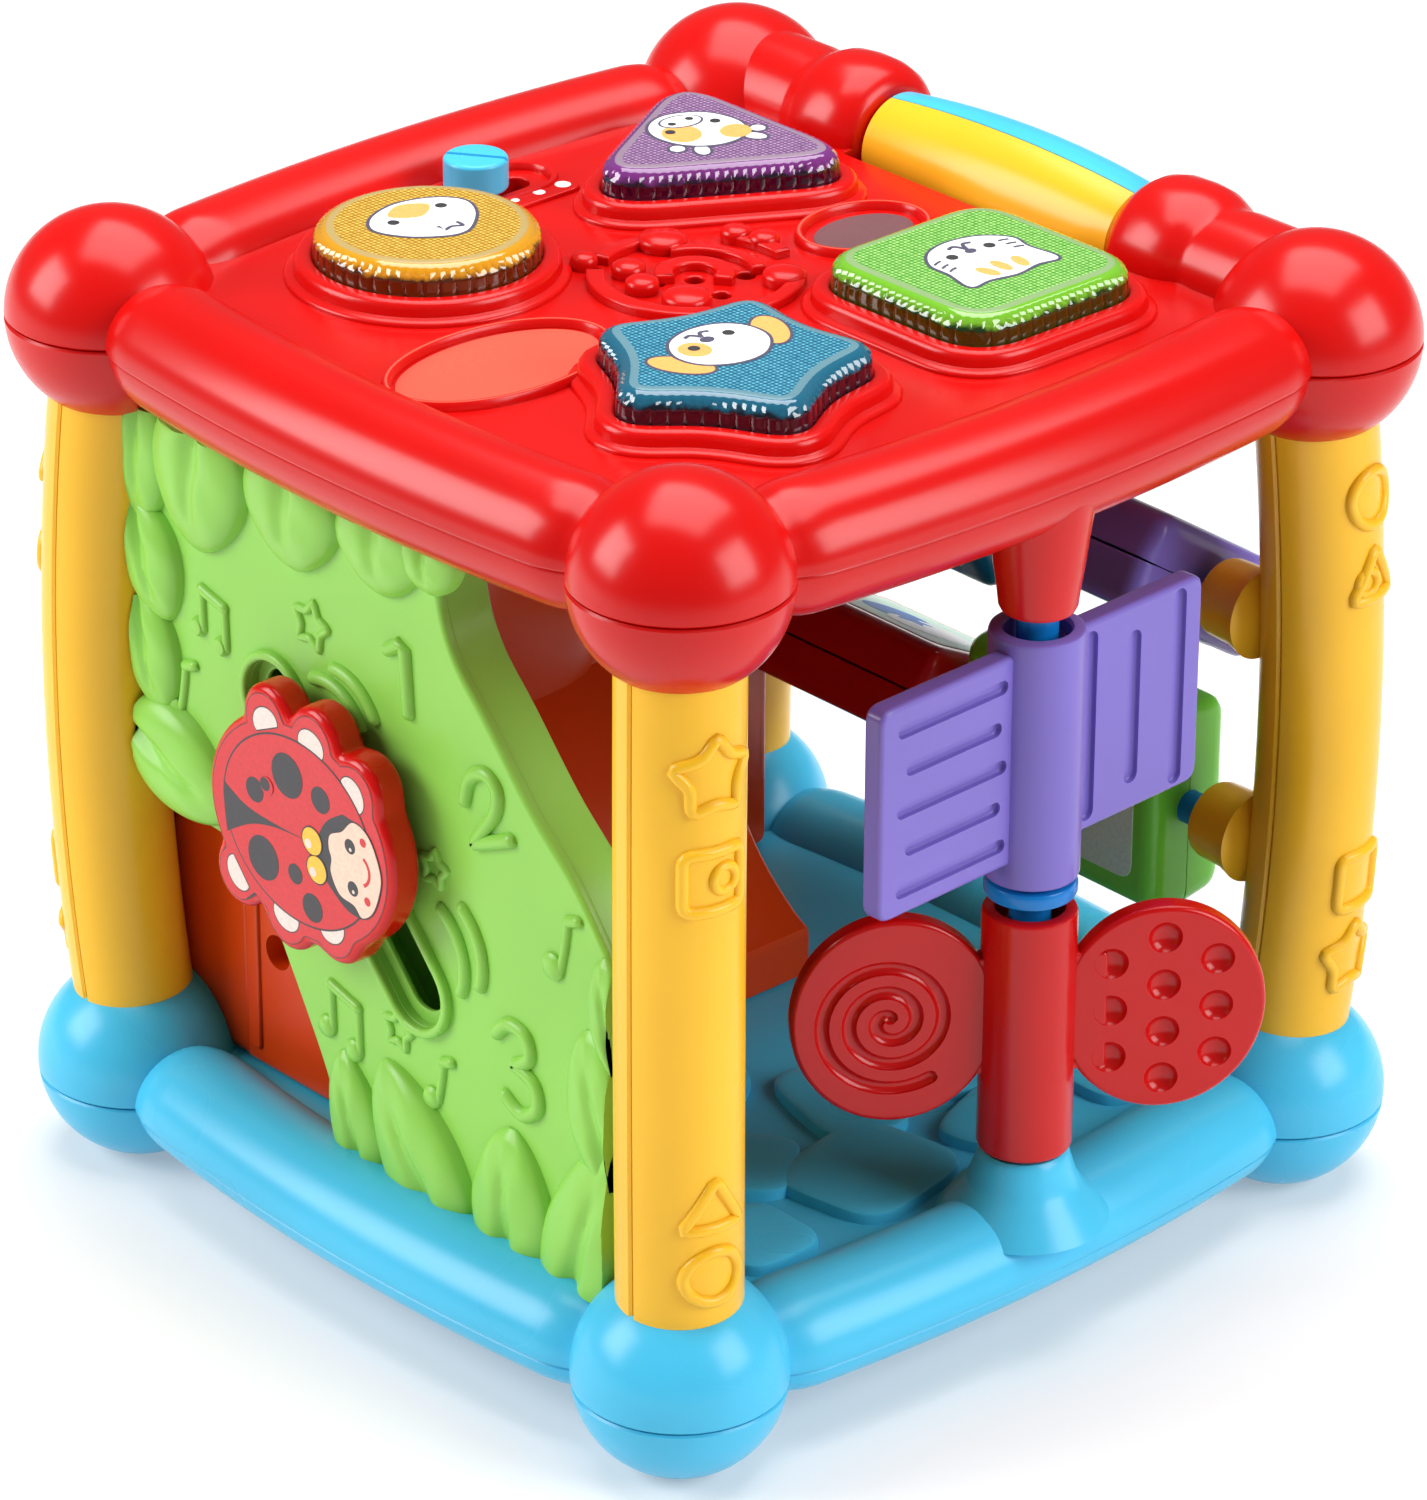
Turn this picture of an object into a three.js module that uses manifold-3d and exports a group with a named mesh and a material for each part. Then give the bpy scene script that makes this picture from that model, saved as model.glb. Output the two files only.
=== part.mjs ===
// A baby activity cube: a red lid with light-up buttons, four yellow pillars, a light-blue base,
// and a toy panel or spinner on every side. Millimetres, +Z up, the floor at z = 0.
import * as THREE from 'three';
import { mergeVertices } from 'three/addons/utils/BufferGeometryUtils.js';
import Module from 'manifold-3d';

const wasm = await Module();
wasm.setup();

// ---- driving dimensions ----
const GAP = 0.3; // clearance between pieces that touch
const CORNER = 65.4; // a corner ball's centre from the cube's axis, along X and along Y
const BALL_R = 16.6;
const FOOT_CUT = 1.0; // flat cut from the bottom of each base ball
const TOP_Z = 146.35; // centre height of the lid's balls and rails, and its seam
const BASE_BALL_Z = BALL_R - FOOT_CUT;
const BASE_RAIL_Z = 13.9; // centre height of the base's rails, and its seam
const RAIL_R = 10.4;
const RAIL_BOW = 5.8; // how far the middle of a rail bulges outward
const RAIL_UNDER = 0.68; // the base rails' lower half is flattened to this share of its height
const SHELL = 2.2; // wall of the moulded shells
const DECK_TOP = 151.35; // lid's deck
const DECK_UNDER = DECK_TOP - 2.75;
const DECK_HALF = 59; // half width of the hollow below the deck
const TUB_FLOOR = 131.5; // underside of the lid's tub
const BASE_DECK_TOP = 18.6;
const BASE_DECK_UNDER = BASE_DECK_TOP - 2.4;

const PILLAR_R = 9.7;
const PILLAR_BOW = 2.4; // along X and along Y
const TENON_R = 7;
const WIRE_BORE_R = 5.2;

const ROLLER = { y: 66, z: 150.5, half: 28.2, end: 8.4, middle: 10.2, split: 13 }; // split in degrees
const ROLLER_TROUGH_R = 12;
const LUG_R = 12.3;
const ROLLER_PIN_R = 2.3;

const CAP_TOP = 159.4;
const CAP_FLANGE_TOP = DECK_UNDER - 0.4;
const COLLAR_TOP = 154.8;
const BUTTON_TRAVEL = 1.8;
const BOARD_TOP = 138.1;
const SWITCH_TOP = BOARD_TOP + 0.3 + 3.5;

const TWIRL_X = 72; // vertical spinner axle
const TWIRL_AXLE_R = 3.2;
const PURPLE = { z0: 79.4, z1: 120.6, r: 7.4, reach: 34.8, vane: [83.5, 118.4], turn: 2 };
const RED = { z0: 32.4, z1: 73.6, r: 7.4, disc: [16.1, 17.5], reach: 20.7, z: 55.6, turn: 54.3 };

const TUMBLE_Y = 63.5;
const TUMBLE_Z = { upper: 97.6, lower: 58.2 };
const TUMBLE_AXLE_R = 2.8;
const TUMBLE = { length: 44, half: 18.2, thick: 8.2 };

const PANEL_FRONT = -67.5; // green panel's front surface, on Y
const PANEL_BACK = -65.1;
const SLOT = { from: [-24.7, 95.3], to: [8.3, 58], r: 4 };
const BUG = { x: -9.3, z: 80.9, rx: 22.2, rz: 18.8, front: -76, back: -70.2 };
const BUG_FEET = [[18, 115], [16.8, 78], [17.6, 41], [15.8, -61], [16.4, -103], [20.1, -140]]; // reach, bearing
const BUG_FOOT_R = 5.7;

const ORANGE_INNER = -47; // inner face of the gear side's housing, on X
const ORANGE_OUTER = -67;
const GEAR_X = [-73.6, -67.6];
const GEARS = [
  { name: 'upper', y: -18.3, z: 106.1, r: 16, teeth: 8 },
  { name: 'middle', y: 1.5, z: 76, r: 20, teeth: 10 },
  { name: 'lower', y: 21, z: 45.7, r: 16, teeth: 8 },
];

const BUTTONS = [
  { name: 'circle', x: -35.3, y: -27, color: 0xe0a020, outline: circle(16.8, 24) },
  { name: 'triangle', x: -33.6, y: 30.2, color: 0x6a4a9a, outline: regular(3, 25.6, -90, 12) },
  { name: 'square', x: 31.6, y: 26.4, color: 0x4fae3a, outline: regular(4, 24.6, 45, 8) },
  { name: 'star', x: 32, y: -25.6, color: 0x157a9c, outline: star(22.4, 15.6, -88, 5) },
];

// ---- outlines ----
function circle(radius, count) {
  return Array.from({ length: count }, (_, i) => polar(radius, (360 * i) / count));
}

function polar(radius, degrees) {
  const angle = THREE.MathUtils.degToRad(degrees);
  return new THREE.Vector2(radius * Math.cos(angle), radius * Math.sin(angle));
}

function points(...pairs) {
  return pairs.map(([x, y]) => new THREE.Vector2(x, y));
}

// Rounds every corner of a polygon with a curve that starts and ends `setback` from the corner.
function rounded(corners, setback, steps = 3) {
  const outline = [];
  corners.forEach((corner, i) => {
    const before = corners.at(i - 1);
    const after = corners[(i + 1) % corners.length];
    const start = corner.clone().lerp(before, setback / corner.distanceTo(before));
    const end = corner.clone().lerp(after, setback / corner.distanceTo(after));
    outline.push(...new THREE.QuadraticBezierCurve(start, corner, end).getPoints(steps));
  });
  return outline;
}

function regular(sides, radius, firstAngle, setback) {
  const corners = Array.from({ length: sides }, (_, i) => polar(radius, firstAngle + (360 * i) / sides));
  return rounded(corners, setback, 4);
}

function star(outer, inner, firstAngle, setback) {
  const corners = Array.from({ length: 10 }, (_, i) => polar(i % 2 ? inner : outer, firstAngle + 36 * i));
  return rounded(corners, setback, 2);
}

// Moves every point of a counter-clockwise outline outward by `distance`.
function grow(outline, distance) {
  return outline.map((point, i) => {
    const before = outline.at(i - 1);
    const after = outline[(i + 1) % outline.length];
    const along = after.clone().sub(before).normalize();
    return new THREE.Vector2(point.x + along.y * distance, point.y - along.x * distance);
  });
}

function obround(from, to, radius, steps = 6) {
  const start = new THREE.Vector2(...from);
  const end = new THREE.Vector2(...to);
  const heading = THREE.MathUtils.radToDeg(end.clone().sub(start).angle());
  const cap = (centre, first) =>
    Array.from({ length: steps + 1 }, (_, i) => polar(radius, first + (180 * i) / steps).add(centre));
  return [...cap(end, heading - 90), ...cap(start, heading + 90)];
}

// ---- solids ----
function toSolid(geometry) {
  const bare = geometry.clone();
  bare.deleteAttribute('normal');
  bare.deleteAttribute('uv');
  const merged = mergeVertices(bare, 1e-4);
  const index = merged.index;
  const corners = [];
  for (let i = 0; i < index.count; i += 3) {
    const [a, b, c] = [index.getX(i), index.getX(i + 1), index.getX(i + 2)];
    if (a !== b && b !== c && c !== a) corners.push(a, b, c);
  }
  const position = merged.attributes.position;
  if (signedVolume(position, corners) < 0) corners.reverse();
  return new wasm.Manifold(new wasm.Mesh({
    numProp: 3,
    vertProperties: new Float32Array(position.array),
    triVerts: new Uint32Array(corners),
  }));
}

function signedVolume(position, corners) {
  let volume = 0;
  for (let i = 0; i < corners.length; i += 3) {
    const [a, b, c] = corners.slice(i, i + 3).map((n) => new THREE.Vector3().fromBufferAttribute(position, n));
    volume += a.dot(b.cross(c));
  }
  return volume;
}

function join(...solids) {
  return solids.reduce((whole, solid) => whole.add(solid));
}

function cut(solid, ...tools) {
  return solid.subtract(join(...tools));
}

function block([x0, x1], [y0, y1], [z0, z1]) {
  const box = new THREE.BoxGeometry(x1 - x0, y1 - y0, z1 - z0);
  return toSolid(box.translate((x0 + x1) / 2, (y0 + y1) / 2, (z0 + z1) / 2));
}

function ball(radius, [x, y, z], segments = 12) {
  const sphere = new THREE.SphereGeometry(radius, segments, 2 * Math.round(segments * 0.3));
  return toSolid(sphere.rotateX(Math.PI / 2).translate(x, y, z));
}

// Turns a shape drawn in a plane, extruded along +Z, so that it runs along `axis`:
// 'z' keeps the drawing in XY, 'x' puts it in YZ, and 'y' puts it in XZ (running along -Y).
function aim(geometry, axis) {
  const basis = {
    x: [[0, 1, 0], [0, 0, 1], [1, 0, 0]],
    y: [[1, 0, 0], [0, 0, 1], [0, -1, 0]],
    z: [[1, 0, 0], [0, 1, 0], [0, 0, 1]],
  }[axis].map((column) => new THREE.Vector3(...column));
  return geometry.applyMatrix4(new THREE.Matrix4().makeBasis(...basis));
}

function prism(outline, [from, to], axis = 'z', bevel = 0) {
  const shape = new THREE.Shape(outline);
  const geometry = new THREE.ExtrudeGeometry(shape, {
    depth: to - from - 2 * bevel,
    bevelEnabled: bevel > 0,
    bevelThickness: bevel,
    bevelSize: bevel,
    bevelOffset: -bevel,
    bevelSegments: 1,
    steps: 1,
  });
  geometry.translate(0, 0, bevel + (axis === 'y' ? -to : from));
  return toSolid(aim(geometry, axis));
}

// A round bar along `axis`, centred on the two other coordinates in X, Y, Z order.
function rod(radius, [from, to], axis, [u, v], segments = 16) {
  const outline = circle(radius, segments).map((point) => point.add(new THREE.Vector2(u, v)));
  return prism(outline, [from, to], axis);
}

// A turned piece: `profile` lists [radius, height] pairs from the axis and back to it.
function turned(profile, axis, [x, y, z], segments = 24) {
  const lathe = new THREE.LatheGeometry(points(...profile), segments).rotateX(Math.PI / 2);
  return toSolid(aim(lathe, axis).translate(x, y, z));
}

function bentTube(curve, radius, segments, steps) {
  const shape = new THREE.Shape(circle(radius, segments));
  return toSolid(new THREE.ExtrudeGeometry(shape, { steps, extrudePath: curve, bevelEnabled: false }));
}

function outlineAt(outline, x, y) {
  return outline.map((point) => new THREE.Vector2(point.x + x, point.y + y));
}

// ---- rails, balls and pillars as plain envelopes ----
const CORNERS = [[-1, -1], [1, -1], [1, 1], [-1, 1]];

function rail([sx, sy], z, radius, segments = 12) {
  // (sx, sy) is the side that the rail runs along, such as (0, -1).
  const across = new THREE.Vector3(Math.abs(sy) * CORNER, Math.abs(sx) * CORNER, 0);
  const out = new THREE.Vector3(sx, sy, 0);
  const centre = out.clone().multiplyScalar(CORNER).setZ(z);
  const curve = new THREE.QuadraticBezierCurve3(
    centre.clone().sub(across),
    centre.clone().addScaledVector(out, 2 * RAIL_BOW),
    centre.clone().add(across),
  );
  return bentTube(curve, radius, segments, 6);
}

function balls(z, radius, segments) {
  return join(...CORNERS.map(([sx, sy]) => ball(radius, [sx * CORNER, sy * CORNER, z], segments)));
}

const SIDES = [[0, -1], [1, 0], [0, 1], [-1, 0]];
const LID_SIDES = SIDES.filter(([, sy]) => sy !== 1); // the roller takes the place of the fourth rail

function pillarCurve(sx, sy, low, high) {
  const middle = new THREE.Vector3(sx * (CORNER + 2 * PILLAR_BOW), sy * (CORNER + 2 * PILLAR_BOW), (low + high) / 2);
  return new THREE.QuadraticBezierCurve3(
    new THREE.Vector3(sx * CORNER, sy * CORNER, low),
    middle,
    new THREE.Vector3(sx * CORNER, sy * CORNER, high),
  );
}

const PILLAR_SPAN = [22, 140];

function pillarTube([sx, sy], radius, segments) {
  return bentTube(pillarCurve(sx, sy, ...PILLAR_SPAN), radius, segments, 6);
}

function tenonHoles(radius, [from, to]) {
  return join(...CORNERS.map(([sx, sy]) => rod(radius, [from, to], 'z', [sx * CORNER, sy * CORNER])));
}

// ---- lid ----
function rollerTrough() {
  return rod(ROLLER_TROUGH_R, [-ROLLER.half - 0.4, ROLLER.half + 0.4], 'x', [ROLLER.y, ROLLER.z], 28);
}

function lug(side) {
  const start = ROLLER.half + 0.4;
  const profile = [
    [0, start], [9.4, start], [11.4, start + 1.6], [LUG_R, start + 5], [LUG_R, start + 10],
    [11, start + 15], [9.4, start + 18], [9, CORNER - 6], [0, CORNER - 6],
  ];
  return turned(profile.map(([r, x]) => [r, side * x]), 'x', [0, ROLLER.y, ROLLER.z], 20);
}

function pinHoles() {
  return rod(ROLLER_PIN_R + GAP, [-37, 37], 'x', [ROLLER.y, ROLLER.z], 12);
}

function lidHollow() {
  const rails = LID_SIDES.map((side) => rail(side, TOP_Z, RAIL_R - SHELL, 6));
  const corners = balls(TOP_Z, BALL_R - SHELL, 8);
  return join(corners, ...rails, block([-DECK_HALF, DECK_HALF], [-DECK_HALF, 51], [TUB_FLOOR + 2.4, DECK_UNDER]));
}

function topShell() {
  const above = block([-100, 100], [-100, 100], [TOP_Z, 200]);
  const rails = LID_SIDES.map((side) => rail(side, TOP_Z, RAIL_R));
  const deck = block([-64, 64], [-64, 62], [TOP_Z, DECK_TOP]);
  const collars = BUTTONS.map(({ outline, x, y }) => prism(outlineAt(grow(outline, 4.3), x, y), [DECK_UNDER, COLLAR_TOP]));
  const wells = BUTTONS.map(({ outline, x, y }) => prism(outlineAt(grow(outline, 0.7), x, y), [DECK_UNDER - 3, 170]));
  const envelope = join(balls(TOP_Z, BALL_R), ...rails, lug(1), lug(-1), deck).intersect(above);
  const solid = cut(envelope, lidHollow(), rollerTrough(), pinHoles());
  const raised = join(...collars, knobPad(), grilleRing());
  return cut(join(solid, raised), ...wells, knobSlot(), grilleHoles());
}

const KNOB = { x: -54, y: -1.2, r: 5.2, travel: 8, slotHalf: 2.3, top: 158 };

function knobPad() {
  return prism(obround([KNOB.x, KNOB.y - 1], [KNOB.x, KNOB.y + KNOB.travel + 1], 7.2), [DECK_UNDER, DECK_TOP + 1]);
}

function knobSlot() {
  const ends = [[KNOB.x, KNOB.y], [KNOB.x, KNOB.y + KNOB.travel]];
  return prism(obround(...ends, KNOB.slotHalf), [DECK_UNDER - 3, 160]);
}

const GRILLE = { x: -5.5, y: 1.5, r: 17.6, hole: 1.6 };

function grilleRing() {
  const place = [GRILLE.x, GRILLE.y];
  const ring = rod(GRILLE.r, [DECK_UNDER, DECK_TOP + 1.8], 'z', place, 28);
  return cut(ring, rod(GRILLE.r - 2.8, [DECK_TOP, 170], 'z', place, 28));
}

function grilleHoles() {
  const spots = circle(7.5, 6).concat([new THREE.Vector2()]);
  return join(...spots.map(({ x, y }) => rod(GRILLE.hole, [DECK_UNDER - 2, 160], 'z', [GRILLE.x + x, GRILLE.y + y], 8)));
}

function topUnderside() {
  const below = block([-100, 100], [-100, 100], [100, TOP_Z - GAP]);
  const rails = SIDES.map((side) => rail(side, TOP_Z, RAIL_R));
  const half = points([61.5, -55.5], [61.5, 55.5], [55.3, 61.5], [55.3, 66]);
  const mirrored = half.map((point) => new THREE.Vector2(-point.x, point.y)).reverse();
  const tub = prism([...points([55.5, -61.5]), ...half, ...mirrored, ...points([-55.5, -61.5])], [TUB_FLOOR, TOP_Z]);
  const envelope = join(balls(TOP_Z, BALL_R), ...rails, lug(1), lug(-1), tub, twirlBoss()).intersect(below);
  const tenons = tenonHoles(TENON_R + GAP, [100, TOP_Z - 4]);
  return cut(envelope, lidHollow(), rollerTrough(), tenons, twirlSocket(TUB_FLOOR - 20, TOP_Z - 16));
}

// ---- base ----
function baseRail(side, radius, segments) {
  const half = (solid, range) => solid.intersect(block([-100, 100], [-100, 100], range));
  const upper = half(rail(side, 0, radius, segments), [0, 50]);
  const lower = half(rail(side, 0, radius, segments), [-50, 0]).scale([1, 1, RAIL_UNDER]);
  return join(upper, lower).translate([0, 0, BASE_RAIL_Z]);
}

function baseHollow() {
  const rails = SIDES.map((side) => baseRail(side, RAIL_R - SHELL, 6));
  const corners = balls(BASE_BALL_Z, BALL_R - SHELL, 8);
  return join(corners, ...rails, block([-58.5, 58.5], [-58.5, 58.5], [9, BASE_DECK_UNDER]));
}

const PADS = [
  [47, -9, 11.5, 13, 10], [31.5, -23, 10, 9, 40], [50, -36, 8.5, 8, 0], [28, 3, 12, 8, -15],
  [49, 18, 8, 10, 20], [34, 26, 9, 8, 60], [10, -14, 9, 11, 30], [12, -38, 11, 9, 0],
  [33, -46, 9, 7, 10], [50, 43, 8, 9, 0],
]; // stepping stones on the base deck: x, y, half lengths and turn in degrees

function steppingStones() {
  return join(...PADS.map(([x, y, a, b, turn]) => {
    const outline = circle(1, 10).map((point) => {
      const stretch = 1 / (point.x ** 4 + point.y ** 4) ** 0.25;
      return new THREE.Vector2(point.x * a * stretch, point.y * b * stretch)
        .rotateAround(new THREE.Vector2(), THREE.MathUtils.degToRad(turn));
    });
    return prism(outlineAt(outline, x, y), [BASE_DECK_UNDER, BASE_DECK_TOP + 2.2]);
  }));
}

function baseUpperShell() {
  const above = block([-100, 100], [-100, 100], [BASE_RAIL_Z, 60]);
  const rails = SIDES.map((side) => baseRail(side, RAIL_R, 12));
  const deck = block([-62, 62], [-62, 62], [BASE_DECK_UNDER, BASE_DECK_TOP]);
  const stones = steppingStones().intersect(block([-62, 62], [-62, 62], [0, 40]));
  const envelope = join(balls(BASE_BALL_Z, BALL_R), ...rails, deck, stones, twirlFoot()).intersect(above);
  const tenons = tenonHoles(TENON_R + GAP, [BASE_BALL_Z + 4, 60]);
  return cut(envelope, baseHollow(), tenons, twirlSocket(22, 40));
}

const TRAY = { x: 42, y0: -18, y1: 50, z: 1 };
const DOOR = { x: 29, y0: 7, y1: 43, z: 1, thick: 1.8 };

function baseLowerShell() {
  const below = block([-100, 100], [-100, 100], [0, BASE_RAIL_Z - GAP]);
  const rails = SIDES.map((side) => baseRail(side, RAIL_R, 12));
  const floor = block([-62, 62], [-62, 62], [6.8, 9]);
  const tray = block([-TRAY.x, TRAY.x], [TRAY.y0, TRAY.y1], [TRAY.z, 9]);
  const envelope = join(balls(BASE_BALL_Z, BALL_R), ...rails, floor, tray).intersect(below);
  const pocket = block([-TRAY.x + 2, TRAY.x - 2], [TRAY.y0 + 2, TRAY.y1 - 2], [TRAY.z + 2.2, 20]);
  const hatch = block([-DOOR.x - GAP, DOOR.x + GAP], [DOOR.y0 - GAP, DOOR.y1 + GAP], [-1, 5]);
  const screwPost = rod(3.2, [TRAY.z + 2.2, 9.4], 'z', [0, DOOR.y1 - 4], 12);
  const screwHole = rod(1.6, [0, 8], 'z', [0, DOOR.y1 - 4], 12);
  const hollow = cut(envelope, baseHollow(), pocket, hatch);
  const bridge = block([-4, 4], [DOOR.y1 - 8, TRAY.y1 - 1], [TRAY.z + 2.4, TRAY.z + 4]);
  return cut(join(hollow, bridge, screwPost.translate([0, 0, 0.2])), screwHole);
}

function batteryDoor() {
  const plate = block([-DOOR.x, DOOR.x], [DOOR.y0, DOOR.y1], [DOOR.z, DOOR.z + DOOR.thick]);
  const recess = rod(3.2, [0, DOOR.z + 1], 'z', [0, DOOR.y1 - 4], 12);
  return cut(plate, recess, rod(1.7, [0, 9], 'z', [0, DOOR.y1 - 4], 12));
}

function doorScrew() {
  const head = rod(2.7, [DOOR.z - 0.2, DOOR.z + 0.8], 'z', [0, DOOR.y1 - 4], 12);
  return join(head, rod(1.3, [DOOR.z + 0.5, 7.4], 'z', [0, DOOR.y1 - 4], 12));
}

const CELL = { r: 5.2, length: 44.5, z: 9.8 };

function batteryCell(y, plus) {
  const half = CELL.length / 2;
  const can = rod(CELL.r, [-half, half - 1], 'x', [y, CELL.z], 16);
  const nub = rod(1.9, [half - 1.5, half], 'x', [y, CELL.z], 12);
  return plus > 0 ? join(can, nub) : join(can, nub).mirror([1, 0, 0]);
}

function batteryContact(side) {
  const start = CELL.length / 2 + GAP;
  return block([start, start + 0.8], [12, 38], [6.4, 13.4]).scale([side, 1, 1]);
}

// ---- pillars ----
// The two halves of a pillar meet on a bowed surface that faces along X.
function pillarHalf(corner, outside) {
  const [sx] = corner;
  const span = [10, 150];
  const curve = pillarCurve(sx, corner[1], ...PILLAR_SPAN);
  const edge = curve.getPoints(6).map((point) => new THREE.Vector2(point.x + (outside ? sx : -sx) * (GAP / 2), point.z));
  edge[0].y = span[0];
  edge[edge.length - 1].y = span[1];
  const far = sx * CORNER + (outside ? sx : -sx) * 30;
  const side = [...edge, new THREE.Vector2(far, span[1]), new THREE.Vector2(far, span[0])];
  const half = prism(side, [-100, 100], 'y');
  const body = cut(
    pillarTube(corner, PILLAR_R, 12),
    ball(BALL_R + GAP, [corner[0] * CORNER, corner[1] * CORNER, TOP_Z]),
    ball(BALL_R + GAP, [corner[0] * CORNER, corner[1] * CORNER, BASE_BALL_Z]),
  );
  const place = [corner[0] * CORNER, corner[1] * CORNER];
  const tenons = join(rod(TENON_R, [126, 139], 'z', place), rod(TENON_R, [23, 36], 'z', place));
  const stubs = corner[1] > 0 ? tumblerStubs(corner[0]) : [];
  const whole = join(body, tenons, ...stubs);
  return cut(whole.intersect(half), pillarTube(corner, WIRE_BORE_R, 6), ...tumblerSockets(corner));
}

function tumblerStubs(sx) {
  return Object.values(TUMBLE_Z).map((z) =>
    turned([[0, 50], [6, 50], [6.6, 51], [6.9, 62], [0, 62]].map(([r, x]) => [r, sx * x]), 'x', [0, TUMBLE_Y, z], 16));
}

function tumblerSockets([sx, sy]) {
  if (sy < 0) return [];
  return Object.values(TUMBLE_Z).map((z) =>
    rod(TUMBLE_AXLE_R + GAP, [sx * 50, sx * 58].sort((a, b) => a - b), 'x', [TUMBLE_Y, z], 12));
}

// ---- roller ----
function rollerBarrel() {
  const rings = 8;
  const profile = [[0, -ROLLER.half]];
  for (let i = 0; i <= rings; i += 1) {
    const t = (2 * i) / rings - 1;
    profile.push([ROLLER.end + (ROLLER.middle - ROLLER.end) * (1 - t * t), t * ROLLER.half]);
  }
  profile.push([0, ROLLER.half]);
  return turned(profile, 'x', [0, 0, 0], 24);
}

function rollerShell(front) {
  const side = block([-40, 40], front ? [-30, -GAP / 2] : [GAP / 2, 30], [-30, 30]);
  const bore = rod(ROLLER_PIN_R + GAP, [-40, 40], 'x', [0, 0], 12);
  const inside = rod(ROLLER.end - 2.4, [-ROLLER.half + 3, ROLLER.half - 3], 'x', [0, 0], 12);
  return cut(rollerBarrel().intersect(side), bore, inside)
    .rotate([ROLLER.split, 0, 0])
    .translate([0, ROLLER.y, ROLLER.z]);
}

function rollerPin() {
  return rod(ROLLER_PIN_R, [-36.5, 36.5], 'x', [ROLLER.y, ROLLER.z], 12);
}

// ---- buttons and electronics ----
function buttonCap({ outline, x, y }) {
  const crown = prism(outline, [DECK_UNDER - 2.5, CAP_TOP], 'z', 1.2);
  const flange = prism(grow(outline, 2), [CAP_FLANGE_TOP - 2, CAP_FLANGE_TOP]);
  const inside = prism(grow(outline, -2), [DECK_UNDER - 10, CAP_TOP - 2]);
  const stem = rod(2.2, [SWITCH_TOP + BUTTON_TRAVEL + 0.2, CAP_TOP - 1], 'z', [0, 0], 10);
  return join(cut(join(crown, flange), inside), stem).translate([x, y, 0]);
}

function domeSwitch({ x, y }) {
  const bottom = BOARD_TOP + GAP;
  const body = block([x - 3, x + 3], [y - 3, y + 3], [bottom, SWITCH_TOP - 0.8]);
  return join(body, rod(1.7, [SWITCH_TOP - 1, SWITCH_TOP], 'z', [x, y], 10));
}

function led({ x, y }) {
  const bottom = BOARD_TOP + GAP;
  const profile = [[0, bottom], [2.6, bottom], [2.6, bottom + 3], [1.8, bottom + 4.8], [0, bottom + 5.4]];
  return turned(profile, 'z', [x + 7.5, y, 0], 12);
}

function circuitBoard() {
  const plate = block([-52, 52], [-50, 46], [BOARD_TOP - 1.6, BOARD_TOP]);
  return cut(plate, rod(15.5, [100, 160], 'z', [GRILLE.x, GRILLE.y], 20));
}

function speaker() {
  const profile = [[0, 137], [8, 137], [8, 140.5], [14, 143.5], [14, DECK_UNDER - GAP], [0, DECK_UNDER - GAP]];
  return turned(profile, 'z', [GRILLE.x, GRILLE.y, 0], 20);
}

function volumeKnob() {
  const pad = DECK_TOP + 1;
  const body = prism(circle(KNOB.r, 20), [pad + GAP, KNOB.top], 'z', 0.6);
  const stem = rod(1.9, [DECK_UNDER - 2, pad + 2], 'z', [0, 0], 12);
  const foot = block([-3.4, 3.4], [-3.4, 3.4], [DECK_UNDER - 2.4, DECK_UNDER - 0.4]);
  return join(body, stem, foot).translate([KNOB.x, KNOB.y, 0]);
}

// ---- twirler on the +X side ----
function twirlBoss() {
  const profile = [[0, 123.3], [6.4, 123.3], [7, 124.6], [9.4, 141], [0, 141]];
  return turned(profile, 'z', [TWIRL_X, 0, 0], 20);
}

function twirlFoot() {
  return turned([[0, 18], [10, 18], [8.6, 23], [6.9, 31.4], [0, 31.8]], 'z', [TWIRL_X, 0, 0], 20);
}

function twirlSocket(from, to) {
  return rod(TWIRL_AXLE_R + GAP, [from, to], 'z', [TWIRL_X, 0], 16);
}

function twirlerAxle() {
  const collar = turned([[0, 75.9], [5.6, 75.9], [7.2, 76.8], [7.2, 78], [5.6, 78.9], [0, 78.9]], 'z', [TWIRL_X, 0, 0], 20);
  return join(rod(TWIRL_AXLE_R, [24, 129], 'z', [TWIRL_X, 0]), collar);
}

function twirlerBarrel({ z0, z1, r }) {
  const profile = [[0, z0], [r - 0.8, z0], [r, z0 + 0.8], [r, z1 - 0.8], [r - 0.8, z1], [0, z1]];
  return turned(profile, 'z', [0, 0, 0], 20);
}

// Vanes are drawn in the XZ plane, out along +X, and then turned about the axle.
function purpleTwirler() {
  const [low, high] = PURPLE.vane;
  const outline = rounded(points([0, low], [PURPLE.reach, low], [PURPLE.reach, high], [0, high]), 3);
  const vane = (turn) => prism(outline, [-1.7, 1.7], 'y', 0.5).rotate([0, 0, turn]);
  const body = join(twirlerBarrel(PURPLE), vane(-90 + PURPLE.turn), vane(90 + PURPLE.turn));
  return cut(body, rod(TWIRL_AXLE_R + 0.5, [0, 160], 'z', [0, 0])).translate([TWIRL_X, 0, 0]);
}

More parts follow.
